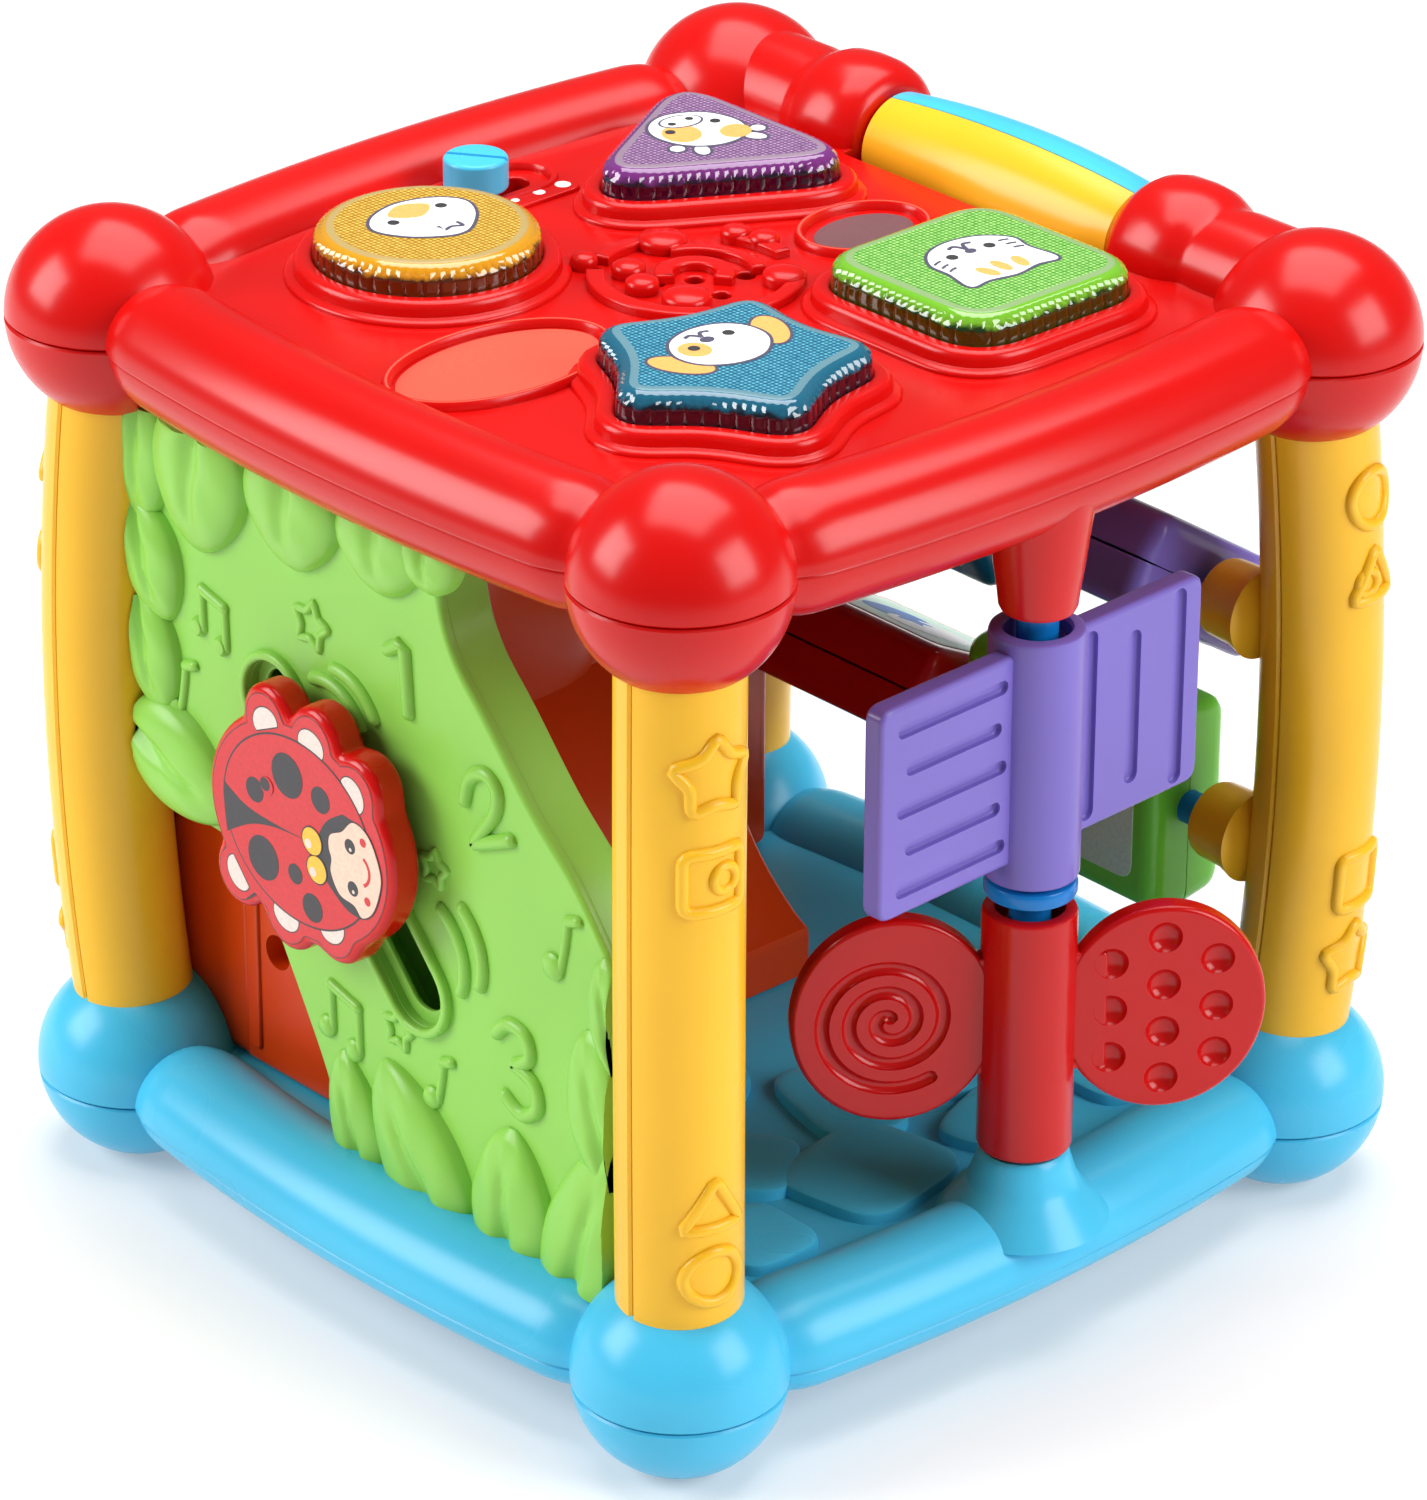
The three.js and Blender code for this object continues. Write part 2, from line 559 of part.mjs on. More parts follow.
function redTwirler() {
  const [across, high] = RED.disc;
  const disc = outlineAt(circle(1, 24).map(({ x, y }) => new THREE.Vector2(x * across, y * high)), RED.reach, RED.z);
  const web = points([0, RED.z - 10], [RED.reach, RED.z - 10], [RED.reach, RED.z + 10], [0, RED.z + 10]);
  const wing = join(prism(disc, [-1.8, 1.8], 'y', 0.6), prism(web, [-1.8, 1.8], 'y'));
  const both = join(wing.rotate([0, 0, RED.turn]), wing.rotate([0, 0, RED.turn + 180]));
  const body = join(twirlerBarrel(RED), both);
  return cut(body, rod(TWIRL_AXLE_R + 0.5, [0, 160], 'z', [0, 0])).translate([TWIRL_X, 0, 0]);
}

// ---- tumblers on the +Y side ----
const TUMBLERS = [
  { name: 'purple', z: TUMBLE_Z.upper, x: 25.8, turn: 57, color: 0x6a4fa0 },
  { name: 'teal', z: TUMBLE_Z.upper, x: -23.5, turn: 30, color: 0x145a70 },
  { name: 'green', z: TUMBLE_Z.lower, x: 22.6, turn: 0, color: 0x78c83c },
  { name: 'red', z: TUMBLE_Z.lower, x: -23.7, turn: 63, color: 0xb01412 },
];

function tumblerShell({ x, z, turn }, front) {
  const { half, thick, length } = TUMBLE;
  const crown = points([-thick, -half + 1.4], [0, -half], [thick, -half + 1.4], [thick, half - 1.4], [0, half], [-thick, half - 1.4]);
  const pillow = prism(rounded(crown, 1.9, 2), [-length / 2, length / 2], 'x', 1.2);
  const side = block([-40, 40], front ? [-30, -GAP / 2] : [GAP / 2, 30], [-30, 30]);
  const bore = rod(TUMBLE_AXLE_R + 0.6, [-40, 40], 'x', [0, 0], 12);
  const inside = block([-length / 2 + 3, length / 2 - 3], [-thick + 2.4, thick - 2.4], [-half + 4, half - 4]);
  const tubeWall = cut(rod(TUMBLE_AXLE_R + 2.4, [-length / 2 + 1, length / 2 - 1], 'x', [0, 0], 12).intersect(side), bore);
  return join(cut(pillow.intersect(side), bore, inside), tubeWall).rotate([turn, 0, 0]).translate([x, TUMBLE_Y, z]);
}

function tumblerAxle(z) {
  return rod(TUMBLE_AXLE_R, [-57.4, 57.4], 'x', [TUMBLE_Y, z], 14);
}

// ---- green panel and ladybug on the -Y side ----
function panelOutline() {
  const sweep = new THREE.CatmullRomCurve3([
    [54, 0, 77.5], [45, 0, 89], [35, 0, 98], [25, 0, 109], [18, 0, 116.5], [13.5, 0, 131.2],
  ].map((place) => new THREE.Vector3(...place))).getPoints(10);
  const edge = sweep.map(({ x, z }) => new THREE.Vector2(x, z));
  const left = points([-57, 131.2], [-58, 112], [-57.4, 90], [-56.6, 70], [-50, 66.5], [-38, 66], [-27, 53.5], [-20, 43], [-14.5, 33], [-12, 24.8]);
  return [...edge, ...left, ...points([54, 24.8])];
}

function slotOutline(radius) {
  return obround(SLOT.from, SLOT.to, radius);
}

// Leaves of the border: x, z of the root, heading in degrees, length and half width.
const LEAVES = [
  [-50, 131, -100, 18, 8], [-32, 131, -80, 14, 8], [-15, 131, -62, 15, 8], [2, 131, -50, 9, 6],
  [-56.5, 112, -75, 13, 4], [-56, 96, -80, 14, 4], [-57, 78, -35, 19, 6],
  [-9, 25, 105, 13, 6], [6, 25, 70, 19, 8], [27, 25, 80, 15, 8], [46, 26, 110, 20, 8], [52, 50, 120, 14, 5],
];

function leaf([x, z, heading, length, half]) {
  const outline = [];
  for (let i = 0; i < 8; i += 1) {
    const t = (i / 8) * 2 * Math.PI;
    const along = (1 - Math.cos(t)) / 2;
    outline.push(new THREE.Vector2(along * length, half * Math.sin(t) * (1 - 0.35 * along)));
  }
  const turn = THREE.MathUtils.degToRad(heading);
  const placed = outline.map((point) => point.rotateAround(new THREE.Vector2(), turn).add(new THREE.Vector2(x, z)));
  return prism(placed, [PANEL_FRONT - 3.6, PANEL_FRONT + 1], 'y', 0.9);
}

function greenPanel() {
  const outline = panelOutline();
  const tray = prism(outline, [PANEL_FRONT, -57.6], 'y');
  const hollow = prism(grow(outline, -2.2), [PANEL_BACK, -50], 'y');
  const rim = cut(prism(slotOutline(7.8), [PANEL_FRONT - 1.4, PANEL_BACK], 'y'), prism(slotOutline(6.4), [-80, PANEL_FRONT - 0.2], 'y'));
  const border = join(...LEAVES.map(leaf)).intersect(block([-59, 54], [-80, -60], [22, 131.2]));
  const whole = join(cut(tray, hollow), rim, border);
  return cut(whole, prism(slotOutline(SLOT.r + 0.2), [-90, -50], 'y'), ...panelNeighbours());
}

function panelNeighbours() {
  return [
    pillarTube([-1, -1], PILLAR_R + GAP, 12),
    pillarTube([1, -1], PILLAR_R + GAP, 12),
    baseRail([0, -1], RAIL_R + GAP, 12),
    rail([0, -1], TOP_Z, RAIL_R + GAP),
    balls(TOP_Z, BALL_R + GAP),
    balls(BASE_BALL_Z, BALL_R + GAP),
  ];
}

// An oval body with six round feet around it, run together with soft creases.
function bugRadius(degrees) {
  const ray = polar(1, degrees);
  const reaches = [1 / Math.hypot(ray.x / BUG.rx, ray.y / BUG.rz)];
  BUG_FEET.forEach(([distance, bearing]) => {
    const foot = polar(distance, bearing);
    const miss = Math.abs(ray.cross(foot));
    if (ray.dot(foot) > 0 && miss < BUG_FOOT_R) reaches.push(ray.dot(foot) + Math.sqrt(BUG_FOOT_R ** 2 - miss ** 2));
  });
  const softness = 26;
  return reaches.reduce((total, reach) => total + reach ** softness, 0) ** (1 / softness);
}

function bugOutline() {
  const count = 64;
  const outline = Array.from({ length: count }, (_, i) => polar(bugRadius((360 * i) / count), (360 * i) / count));
  return outlineAt(outline, BUG.x, BUG.z);
}

function slotPoint(distance) {
  const from = new THREE.Vector2(...SLOT.from);
  const to = new THREE.Vector2(...SLOT.to);
  return from.lerp(to, distance / from.distanceTo(to)).toArray();
}

function ladybug() {
  const stem = prism(obround(slotPoint(12.4), slotPoint(27), SLOT.r - 0.4), [BUG.back - 1, PANEL_BACK + 0.4], 'y');
  return join(prism(bugOutline(), [BUG.front, BUG.back], 'y', 0.8), stem);
}

function ladybugRetainer() {
  return prism(obround(slotPoint(12.4), slotPoint(27), 7), [PANEL_BACK + 0.8, PANEL_BACK + 3], 'y');
}

// ---- orange gear side at -X ----
function gearHousing() {
  const slab = block([ORANGE_OUTER, ORANGE_INNER], [-57.4, 56.2], [BASE_DECK_TOP + GAP, TUB_FLOOR - GAP]);
  const ramp = points([-48, 66], [-40, 60], [-30, 49.5], [-20, 36], [-12, 29.5], [-8.4, 27.6], [-8, 26.5], [-8, 18.9], [-48, 18.9]);
  const flare = points([-48, 50], [-47, 48], [-40.5, 26], [-38.5, 18.9], [-48, 18.9]);
  const foot = prism(ramp.reverse(), [-57.4, 30.4], 'y');
  const toe = prism(flare.reverse(), [30, 46], 'y');
  const inside = join(
    block([ORANGE_OUTER + 3, ORANGE_INNER - 2.4], [-53, 53], [30, TUB_FLOOR + 10]),
    prism(grow(ramp, 2.6), [-55, 28], 'y').intersect(block([-60, 0], [-54.8, 27.8], [10, 70])),
  );
  const neighbours = [
    ...CORNERS.map((corner) => pillarTube(corner, PILLAR_R + GAP, 12)),
    baseRail([-1, 0], RAIL_R + GAP, 12),
    baseRail([0, -1], RAIL_R + GAP, 12),
    rail([-1, 0], TOP_Z, RAIL_R + GAP),
    balls(TOP_Z, BALL_R + GAP),
    balls(BASE_BALL_Z, BALL_R + GAP),
    steppingStones().translate([0, 0, GAP]),
  ];
  const pins = GEARS.map(({ y, z }) => rod(3.6, [ORANGE_OUTER - 1, ORANGE_OUTER + 5], 'x', [y, z], 16));
  const screw = rod(3, [-60, -52], 'y', [-39, 41.5], 14);
  return cut(join(slab, foot, toe), inside, ...neighbours, ...pins, screw);
}

// A chunky gear with round waves for teeth, drawn in the YZ plane.
function gearOutline(gear) {
  const count = gear.teeth * 8;
  return Array.from({ length: count }, (_, i) => {
    const angle = (360 * i) / count;
    const wave = 1.5 * Math.cos(THREE.MathUtils.degToRad(gear.teeth * (angle - gear.phase)));
    return polar(gear.r - 0.75 + wave, angle);
  });
}

// The middle gear has a crest towards each neighbour, and each neighbour a valley towards it.
function setGearPhases() {
  const [upper, middle, lower] = GEARS;
  const bearing = (from, to) => THREE.MathUtils.radToDeg(Math.atan2(to.z - from.z, to.y - from.y));
  middle.phase = bearing(middle, upper);
  upper.phase = bearing(upper, middle) + 180 / upper.teeth;
  const crests = ((bearing(middle, lower) - middle.phase) * middle.teeth) / 360;
  const miss = (crests - Math.round(crests)) * (360 / middle.teeth);
  lower.phase = bearing(lower, middle) + 180 / lower.teeth + (miss * middle.teeth) / lower.teeth;
}

function gear(which) {
  const disc = prism(outlineAt(gearOutline(which), which.y, which.z), GEAR_X, 'x');
  return cut(disc, rod(4, [-90, -50], 'x', [which.y, which.z], 16));
}

function gearPin({ y, z }) {
  const head = rod(6.4, [GEAR_X[0] - 2.4, GEAR_X[0] - 0.4], 'x', [y, z], 16);
  return join(head, rod(3.3, [GEAR_X[0] - 1, ORANGE_OUTER + 4.6], 'x', [y, z], 16));
}

// ---- assembly ----
const group = new THREE.Group();

function add(name, solid, color, roughness = 0.35, metalness = 0) {
  const { numProp, vertProperties, triVerts } = solid.getMesh();
  if (numProp !== 3) throw new Error(`${name} carries more than positions`);
  const geometry = new THREE.BufferGeometry();
  geometry.setAttribute('position', new THREE.BufferAttribute(vertProperties, 3));
  geometry.setIndex(new THREE.BufferAttribute(triVerts, 1));
  geometry.computeVertexNormals();
  const mesh = new THREE.Mesh(geometry, new THREE.MeshStandardMaterial({ color, roughness, metalness }));
  mesh.name = name;
  group.add(mesh);
}

const LID_RED = 0xe8281c;
const SKY = 0x46bfe6;
const YELLOW = 0xf6c62c;
const GREEN = 0x93d462;
const ORANGE = 0xc8460c;
const STEEL = 0xb8bcc0;

add('top_shell', topShell(), LID_RED);
add('top_underside', topUnderside(), LID_RED);
add('base_upper_shell', baseUpperShell(), SKY);
add('base_lower_shell', baseLowerShell(), SKY);

const CORNER_NAMES = ['front_left', 'front_right', 'back_right', 'back_left'];
CORNERS.forEach((corner, i) => {
  add(`${CORNER_NAMES[i]}_pillar_outer`, pillarHalf(corner, true), YELLOW);
  add(`${CORNER_NAMES[i]}_pillar_inner`, pillarHalf(corner, false), YELLOW);
});

BUTTONS.forEach((button) => {
  add(`${button.name}_button`, buttonCap(button), button.color, 0.15);
  add(`${button.name}_switch`, domeSwitch(button), 0x222222, 0.5);
  add(`${button.name}_led`, led(button), 0xf2f2ee, 0.2);
});
add('volume_knob', volumeKnob(), SKY);
add('circuit_board', circuitBoard(), 0x1d6b3a, 0.5);
add('speaker', speaker(), 0x333333, 0.5);

add('roller_front_shell', rollerShell(true), YELLOW);
add('roller_back_shell', rollerShell(false), SKY);
add('roller_pin', rollerPin(), STEEL, 0.3, 1);

add('green_panel', greenPanel(), GREEN);
add('ladybug', ladybug(), LID_RED);
add('ladybug_retainer', ladybugRetainer(), 0xffffff);

add('twirler_axle', twirlerAxle(), 0x1478be);
add('purple_twirler', purpleTwirler(), 0x6a4fa8);
add('red_twirler', redTwirler(), 0xc81919);

add('upper_tumbler_axle', tumblerAxle(TUMBLE_Z.upper), 0x1478be);
add('lower_tumbler_axle', tumblerAxle(TUMBLE_Z.lower), 0x1478be);
TUMBLERS.forEach((tumbler) => {
  add(`${tumbler.name}_tumbler_front`, tumblerShell(tumbler, true), tumbler.color);
  add(`${tumbler.name}_tumbler_back`, tumblerShell(tumbler, false), tumbler.color);
});

setGearPhases();
const GEAR_COLORS = [YELLOW, SKY, GREEN];
add('gear_housing', gearHousing(), ORANGE);
GEARS.forEach((which, i) => {
  add(`${which.name}_gear`, gear(which), GEAR_COLORS[i]);
  add(`${which.name}_gear_pin`, gearPin(which), LID_RED);
});

add('battery_door', batteryDoor(), SKY);
add('battery_door_screw', doorScrew(), STEEL, 0.3, 1);
add('battery_1', batteryCell(18, 1), 0x2a2a2a, 0.4);
add('battery_2', batteryCell(30, -1), 0x2a2a2a, 0.4);
add('battery_contact_right', batteryContact(1), STEEL, 0.3, 1);
add('battery_contact_left', batteryContact(-1), STEEL, 0.3, 1);

export default group;
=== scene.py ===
"""The looks of a baby activity cube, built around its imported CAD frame. Shapes are drawn in millimetres
and scaled to metres when they become meshes. +Z is up, and -Y faces out through the green panel."""

import math

import bmesh
import bpy
from mathutils import Matrix, Vector


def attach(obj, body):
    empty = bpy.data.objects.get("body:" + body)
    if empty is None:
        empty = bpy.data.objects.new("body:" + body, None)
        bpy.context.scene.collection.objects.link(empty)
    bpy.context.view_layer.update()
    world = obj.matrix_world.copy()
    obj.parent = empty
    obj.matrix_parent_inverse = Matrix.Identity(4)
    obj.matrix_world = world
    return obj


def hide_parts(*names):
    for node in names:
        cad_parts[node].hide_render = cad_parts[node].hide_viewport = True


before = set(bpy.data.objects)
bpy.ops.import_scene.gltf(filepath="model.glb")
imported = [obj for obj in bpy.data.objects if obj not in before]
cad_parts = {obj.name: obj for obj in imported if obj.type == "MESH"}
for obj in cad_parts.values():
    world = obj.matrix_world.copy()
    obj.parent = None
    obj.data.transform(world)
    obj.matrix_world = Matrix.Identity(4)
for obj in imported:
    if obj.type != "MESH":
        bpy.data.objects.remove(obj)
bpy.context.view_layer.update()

# ---- driving dimensions, in millimetres ----
MM = 0.001  # one millimetre, in metres
CORNER = 65.4  # a corner ball's middle from the cube's axis, along X and along Y
BALL_R = 16.6
TOP_Z = 146.35  # middle of the lid's balls and rails, and the lid's seam
BASE_BALL_Z = 15.6
BASE_RAIL_Z = 13.9  # middle of the base's rails, and the base's seam
SEAM = 0.12  # half the gap along a seam between two mouldings
RAIL_R = 10.4
RAIL_BOW = 5.8  # how far the middle of a rail bulges outward
RAIL_UNDER = 0.68  # the base rails' lower half is flattened to this share of its height
LEDGE = 0.6  # how far a rail's lower half stands in from its upper half
DECK_TOP = 151.35
DECK_UNDER = 148.6
TUB_FLOOR = 131.5  # underside of the lid's tub
BASE_DECK = 18.6
PILLAR_R = 9.7
PILLAR_BOW = 2.4  # along X and along Y
PILLAR_LOW, PILLAR_HIGH = 22.0, 140.0
ROLLER_Y, ROLLER_Z, ROLLER_HALF = 66.0, 150.5, 28.2
ROLLER_SPLIT = 13.0  # tilt of the roller's split, in degrees
CAP_TOP = 159.4
TWIRL_X = 72.0  # upright spinner axle
BARREL_R = 7.4
PURPLE_SPAN, RED_SPAN = (79.4, 120.6), (32.4, 73.6)  # heights of the two spinners' barrels
TUMBLE_Y = 63.5
TUMBLE_Z = {"upper": 97.6, "lower": 58.2}  # the tumblers' two axles
PANEL_FRONT, PANEL_BACK = -67.5, -65.1  # the green panel's two faces, on Y
PANEL_TOP = 134.8
SLOT_FROM, SLOT_TO = Vector((-24.7, 95.3)), Vector((8.3, 58.0))  # ends of the ladybug's slot, on X and Z
BUG_X, BUG_Z, BUG_FRONT, BUG_BACK = -9.3, 80.9, -76.0, -70.2
ORANGE_INNER, ORANGE_OUTER = -47.0, -67.0  # the gear housing's two faces, on X
CORNERS = {"front_left": (-1, -1), "front_right": (1, -1), "back_right": (1, 1), "back_left": (-1, 1)}


# ---- shapes: points in millimetres, and faces with the number of their material ----
class Shape:
    def __init__(self, points=(), faces=(), slot=0):
        self.points = [Vector(p) for p in points]
        self.faces = [tuple(f) for f in faces]
        self.slots = [slot] * len(self.faces)

    def add(self, *others):
        for other in others:
            base = len(self.points)
            self.points += [p.copy() for p in other.points]
            self.faces += [tuple(i + base for i in f) for f in other.faces]
            self.slots += other.slots
        return self

    def painted(self, slot):
        self.slots = [slot] * len(self.faces)
        return self

    def moved(self, matrix):
        self.points = [matrix @ p for p in self.points]
        return self

    def shifted(self, x=0.0, y=0.0, z=0.0):
        return self.moved(Matrix.Translation((x, y, z)))

    def turned(self, degrees, axis="Z"):
        return self.moved(Matrix.Rotation(math.radians(degrees), 4, axis))


def group(*shapes):
    return Shape().add(*shapes)


def welded(shape):
    """The shape with points that lie together made one, and faces that shrink to nothing left out."""
    index, points, same = {}, [], []
    for p in shape.points:
        key = (round(p.x, 4), round(p.y, 4), round(p.z, 4))
        if key not in index:
            index[key] = len(points)
            points.append(p)
        same.append(index[key])
    made = Shape(points)
    for face, slot in zip(shape.faces, shape.slots):
        face = tuple(dict.fromkeys(same[i] for i in face))
        if len(face) > 2:
            made.faces.append(face)
            made.slots.append(slot)
    return made


def mesh_of(shape, name="shape"):
    mesh = bpy.data.meshes.new(name)
    mesh.from_pydata([p * MM for p in shape.points], [], shape.faces)
    mesh.polygons.foreach_set("material_index", shape.slots)
    bm = bmesh.new()
    bm.from_mesh(mesh)
    bmesh.ops.recalc_face_normals(bm, faces=bm.faces)
    bm.to_mesh(mesh)
    bm.free()
    return mesh


def carve(shape, tool):
    """shape with tool cut out of it, both closed."""
    scene = bpy.context.scene.collection
    body = bpy.data.objects.new("body", mesh_of(shape))
    knife = bpy.data.objects.new("knife", mesh_of(tool))
    scene.objects.link(body)
    scene.objects.link(knife)
    cut = body.modifiers.new("cut", "BOOLEAN")
    cut.object, cut.operation, cut.solver = knife, "DIFFERENCE", "EXACT"
    cut.use_self = True
    depsgraph = bpy.context.evaluated_depsgraph_get()
    result = body.evaluated_get(depsgraph).to_mesh()
    made = Shape([v.co / MM for v in result.vertices], [tuple(p.vertices) for p in result.polygons])
    bpy.data.objects.remove(body)
    bpy.data.objects.remove(knife)
    return made


def place(name, shape, materials, body, replaces=(), sharp=38):
    """Makes the shape a mesh object that rides on a CAD body."""
    mesh = mesh_of(shape, name)
    for material in materials if isinstance(materials, (list, tuple)) else [materials]:
        mesh.materials.append(material)
    mesh.shade_smooth()
    mesh.set_sharp_from_angle(angle=math.radians(sharp))
    obj = bpy.data.objects.new(name, mesh)
    even = obj.modifiers.new("even", "WEIGHTED_NORMAL")
    even.keep_sharp = True
    bpy.context.scene.collection.objects.link(obj)
    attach(obj, body)
    if replaces:
        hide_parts(*replaces)
    return obj


# ---- outlines, as lists of 2D points ----
def angles(count):
    """A whole turn in even steps, in radians."""
    return [2 * math.pi * i / count for i in range(count)]


def polar(radius, degrees):
    return Vector((radius * math.cos(math.radians(degrees)), radius * math.sin(math.radians(degrees))))


def circle(radius, count=48, x=0.0, y=0.0):
    return [Vector((x + radius * math.cos(a), y + radius * math.sin(a))) for a in angles(count)]


def rounded(corners, setback, steps=8):
    corners = [Vector(c) for c in corners]
    outline = []
    for i, corner in enumerate(corners):
        before, after = corners[i - 1], corners[(i + 1) % len(corners)]
        start = corner + (before - corner).normalized() * setback
        end = corner + (after - corner).normalized() * setback
        for k in range(steps + 1):
            t = k / steps
            outline.append(start * (1 - t) ** 2 + corner * 2 * t * (1 - t) + end * t ** 2)
    return outline


def regular(sides, radius, first, setback, steps=10):
    return rounded([polar(radius, first + 360 * i / sides) for i in range(sides)], setback, steps)


def star(outer, inner, first, setback, steps=6):
    return rounded([polar(inner if i % 2 else outer, first + 36 * i) for i in range(10)], setback, steps)


def rectangle(x0, x1, y0, y1, setback=1.0, steps=4):
    return rounded([(x0, y0), (x1, y0), (x1, y1), (x0, y1)], setback, steps)


def obround(start, end, radius, steps=14):
    start, end = Vector(start), Vector(end)
    heading = math.degrees(math.atan2(end.y - start.y, end.x - start.x))
    return [end + polar(radius, heading - 90 + 180 * i / steps) for i in range(steps + 1)] + \
           [start + polar(radius, heading + 90 + 180 * i / steps) for i in range(steps + 1)]


def at(outline, x, y):
    return [Vector((p[0] + x, p[1] + y)) for p in outline]


def resampled(outline, pitch):
    """The same closed outline with an even number of evenly spaced points."""
    loop = [Vector(p) for p in outline] + [Vector(outline[0])]
    lengths = [(b - a).length for a, b in zip(loop, loop[1:])]
    count = 2 * max(6, round(sum(lengths) / pitch / 2))
    step, made, k, gone = sum(lengths) / count, [], 0, 0.0
    for i in range(count):
        while k < len(lengths) - 1 and gone + lengths[k] < i * step:
            gone += lengths[k]
            k += 1
        made.append(loop[k].lerp(loop[k + 1], min(1.0, (i * step - gone) / max(lengths[k], 1e-9))))
    return made


def outward(outline):
    """Unit normals that point out of a counter-clockwise outline."""
    normals = []
    for i, _ in enumerate(outline):
        along = (outline[(i + 1) % len(outline)] - outline[i - 1]).normalized()
        normals.append(Vector((along.y, -along.x)))
    return normals


def grown(outline, distance):
    return [p + n * distance for p, n in zip(outline, outward(outline))]


def curve_through(points, steps=8, closed=False):
    """A Catmull-Rom curve through points of any dimension."""
    points = [Vector(p) for p in points]
    count = len(points)
    made = []
    for i in range(count if closed else count - 1):
        if closed:
            a, b, c, d = (points[(i + k) % count] for k in (-1, 0, 1, 2))
        else:
            a, b, c, d = (points[min(max(i + k, 0), count - 1)] for k in (-1, 0, 1, 2))
        for k in range(steps):
            t = k / steps
            made.append(0.5 * (
                2 * b + (c - a) * t + (2 * a - 5 * b + 4 * c - d) * t ** 2
                + (3 * b - 3 * c + d - a) * t ** 3
            ))
    return made if closed else made + [points[-1]]


# ---- shapes made from outlines ----
AXES = {
    "z": Matrix.Identity(4),
    "y": Matrix(((1, 0, 0, 0), (0, 0, 1, 0), (0, 1, 0, 0), (0, 0, 0, 1))),
    "x": Matrix(((0, 0, 1, 0), (1, 0, 0, 0), (0, 1, 0, 0), (0, 0, 0, 1))),
}


def plate(outlines, low, high, axis="z", bevel=0.3, rounds=3):
    """A flat piece with rounded edges between two levels of an axis. Outlines after the first are holes."""
    curve = bpy.data.curves.new("plate", "CURVE")
    curve.dimensions, curve.fill_mode = "2D", "BOTH"
    curve.extrude, curve.bevel_depth = (high - low) / 2 - bevel, bevel
    curve.bevel_resolution, curve.offset = rounds, -bevel
    for outline in outlines:
        spline = curve.splines.new("POLY")
        spline.points.add(len(outline) - 1)
        for point, (u, v) in zip(spline.points, outline):
            point.co = (u, v, 0, 1)
        spline.use_cyclic_u = True
    obj = bpy.data.objects.new("plate", curve)
    bpy.context.scene.collection.objects.link(obj)
    mesh = bpy.data.meshes.new_from_object(obj.evaluated_get(bpy.context.evaluated_depsgraph_get()))
    shape = Shape([v.co for v in mesh.vertices], [tuple(p.vertices) for p in mesh.polygons])
    bpy.data.objects.remove(obj)
    bpy.data.curves.remove(curve)
    bpy.data.meshes.remove(mesh)
    return welded(shape.shifted(z=(low + high) / 2).moved(AXES[axis]))


def loft(rings, looped=False):
    """Skins equal rings of 3D points."""
    n = len(rings[0])
    shape = Shape([p for ring in rings for p in ring])
    spans = len(rings) if looped else len(rings) - 1
    for r in range(spans):
        a, b = r * n, ((r + 1) % len(rings)) * n
        shape.faces += [(a + i, a + (i + 1) % n, b + (i + 1) % n, b + i) for i in range(n)]
    if not looped:
        shape.faces += [tuple(reversed(range(n))), tuple((len(rings) - 1) * n + i for i in range(n))]
    return shape.painted(0)


def around(outline, profile, looped=False):
    """Rings of an outline at (offset, height) steps, so the profile runs all round it."""
    normals = outward(outline)
    rings = [
        [Vector(((p + n * d).x, (p + n * d).y, z)) for p, n in zip(outline, normals)] for d, z in profile
    ]
    return loft(rings, looped)


def lathe(profile, axis="z", centre=(0, 0, 0), count=64, start=0.0, sweep=360.0):
    """Turns a profile of (radius, height) that starts and ends on the axis. A part turn is closed flat."""
    whole = sweep >= 360
    steps = count if whole else max(8, round(count * sweep / 360)) + 1
    rings = []
    for i in range(steps):
        angle = math.radians(start + sweep * i / (count if whole else steps - 1))
        rings.append([Vector((r * math.cos(angle), r * math.sin(angle), h)) for r, h in profile])
    n = len(profile)
    shape = Shape([p for ring in rings for p in ring])
    for k in range(steps if whole else steps - 1):
        a, b = k * n, ((k + 1) % steps) * n
        shape.faces += [(a + i, b + i, b + i + 1, a + i + 1) for i in range(n - 1)]
    if not whole:
        shape.faces += [tuple(range(n)), tuple((steps - 1) * n + i for i in reversed(range(n)))]
    return welded(shape.painted(0).moved(AXES[axis]).shifted(*centre))


def tube(points, radius, closed=False, sides=12, up=(0, 1, 0)):
    """A round bar along 3D points, with rounded ends."""
    points = [Vector(p) for p in points]
    up = Vector(up)
    rings = []
    count = len(points)
    for i, point in enumerate(points):
        if closed:
            along = points[(i + 1) % count] - points[i - 1]
        else:
            along = points[min(i + 1, count - 1)] - points[max(i - 1, 0)]
        along.normalize()
        side = along.cross(up).normalized()
        above = side.cross(along).normalized()
        rings.append((point, side, above, along))

    def ring(point, side, above, scale):
        return [point + (side * math.cos(a) + above * math.sin(a)) * radius * scale for a in angles(sides)]

    made = [ring(p, s, a, 1.0) for p, s, a, _ in rings]
    if closed:
        return loft(made, looped=True)
    caps = [(0.98, 0.1), (0.85, 0.52), (0.5, 0.86)]
    first, last = rings[0], rings[-1]
    head = [
        ring(first[0] - first[3] * radius * ahead, first[1], first[2], scale) for scale, ahead in reversed(caps)
    ]
    tail = [ring(last[0] + last[3] * radius * ahead, last[1], last[2], scale) for scale, ahead in caps]
    return loft(head + made + tail)


def rod(radius, low, high, axis, u=0.0, v=0.0, bevel=0.4, count=40):
    return plate([circle(radius, count, u, v)], low, high, axis, bevel)


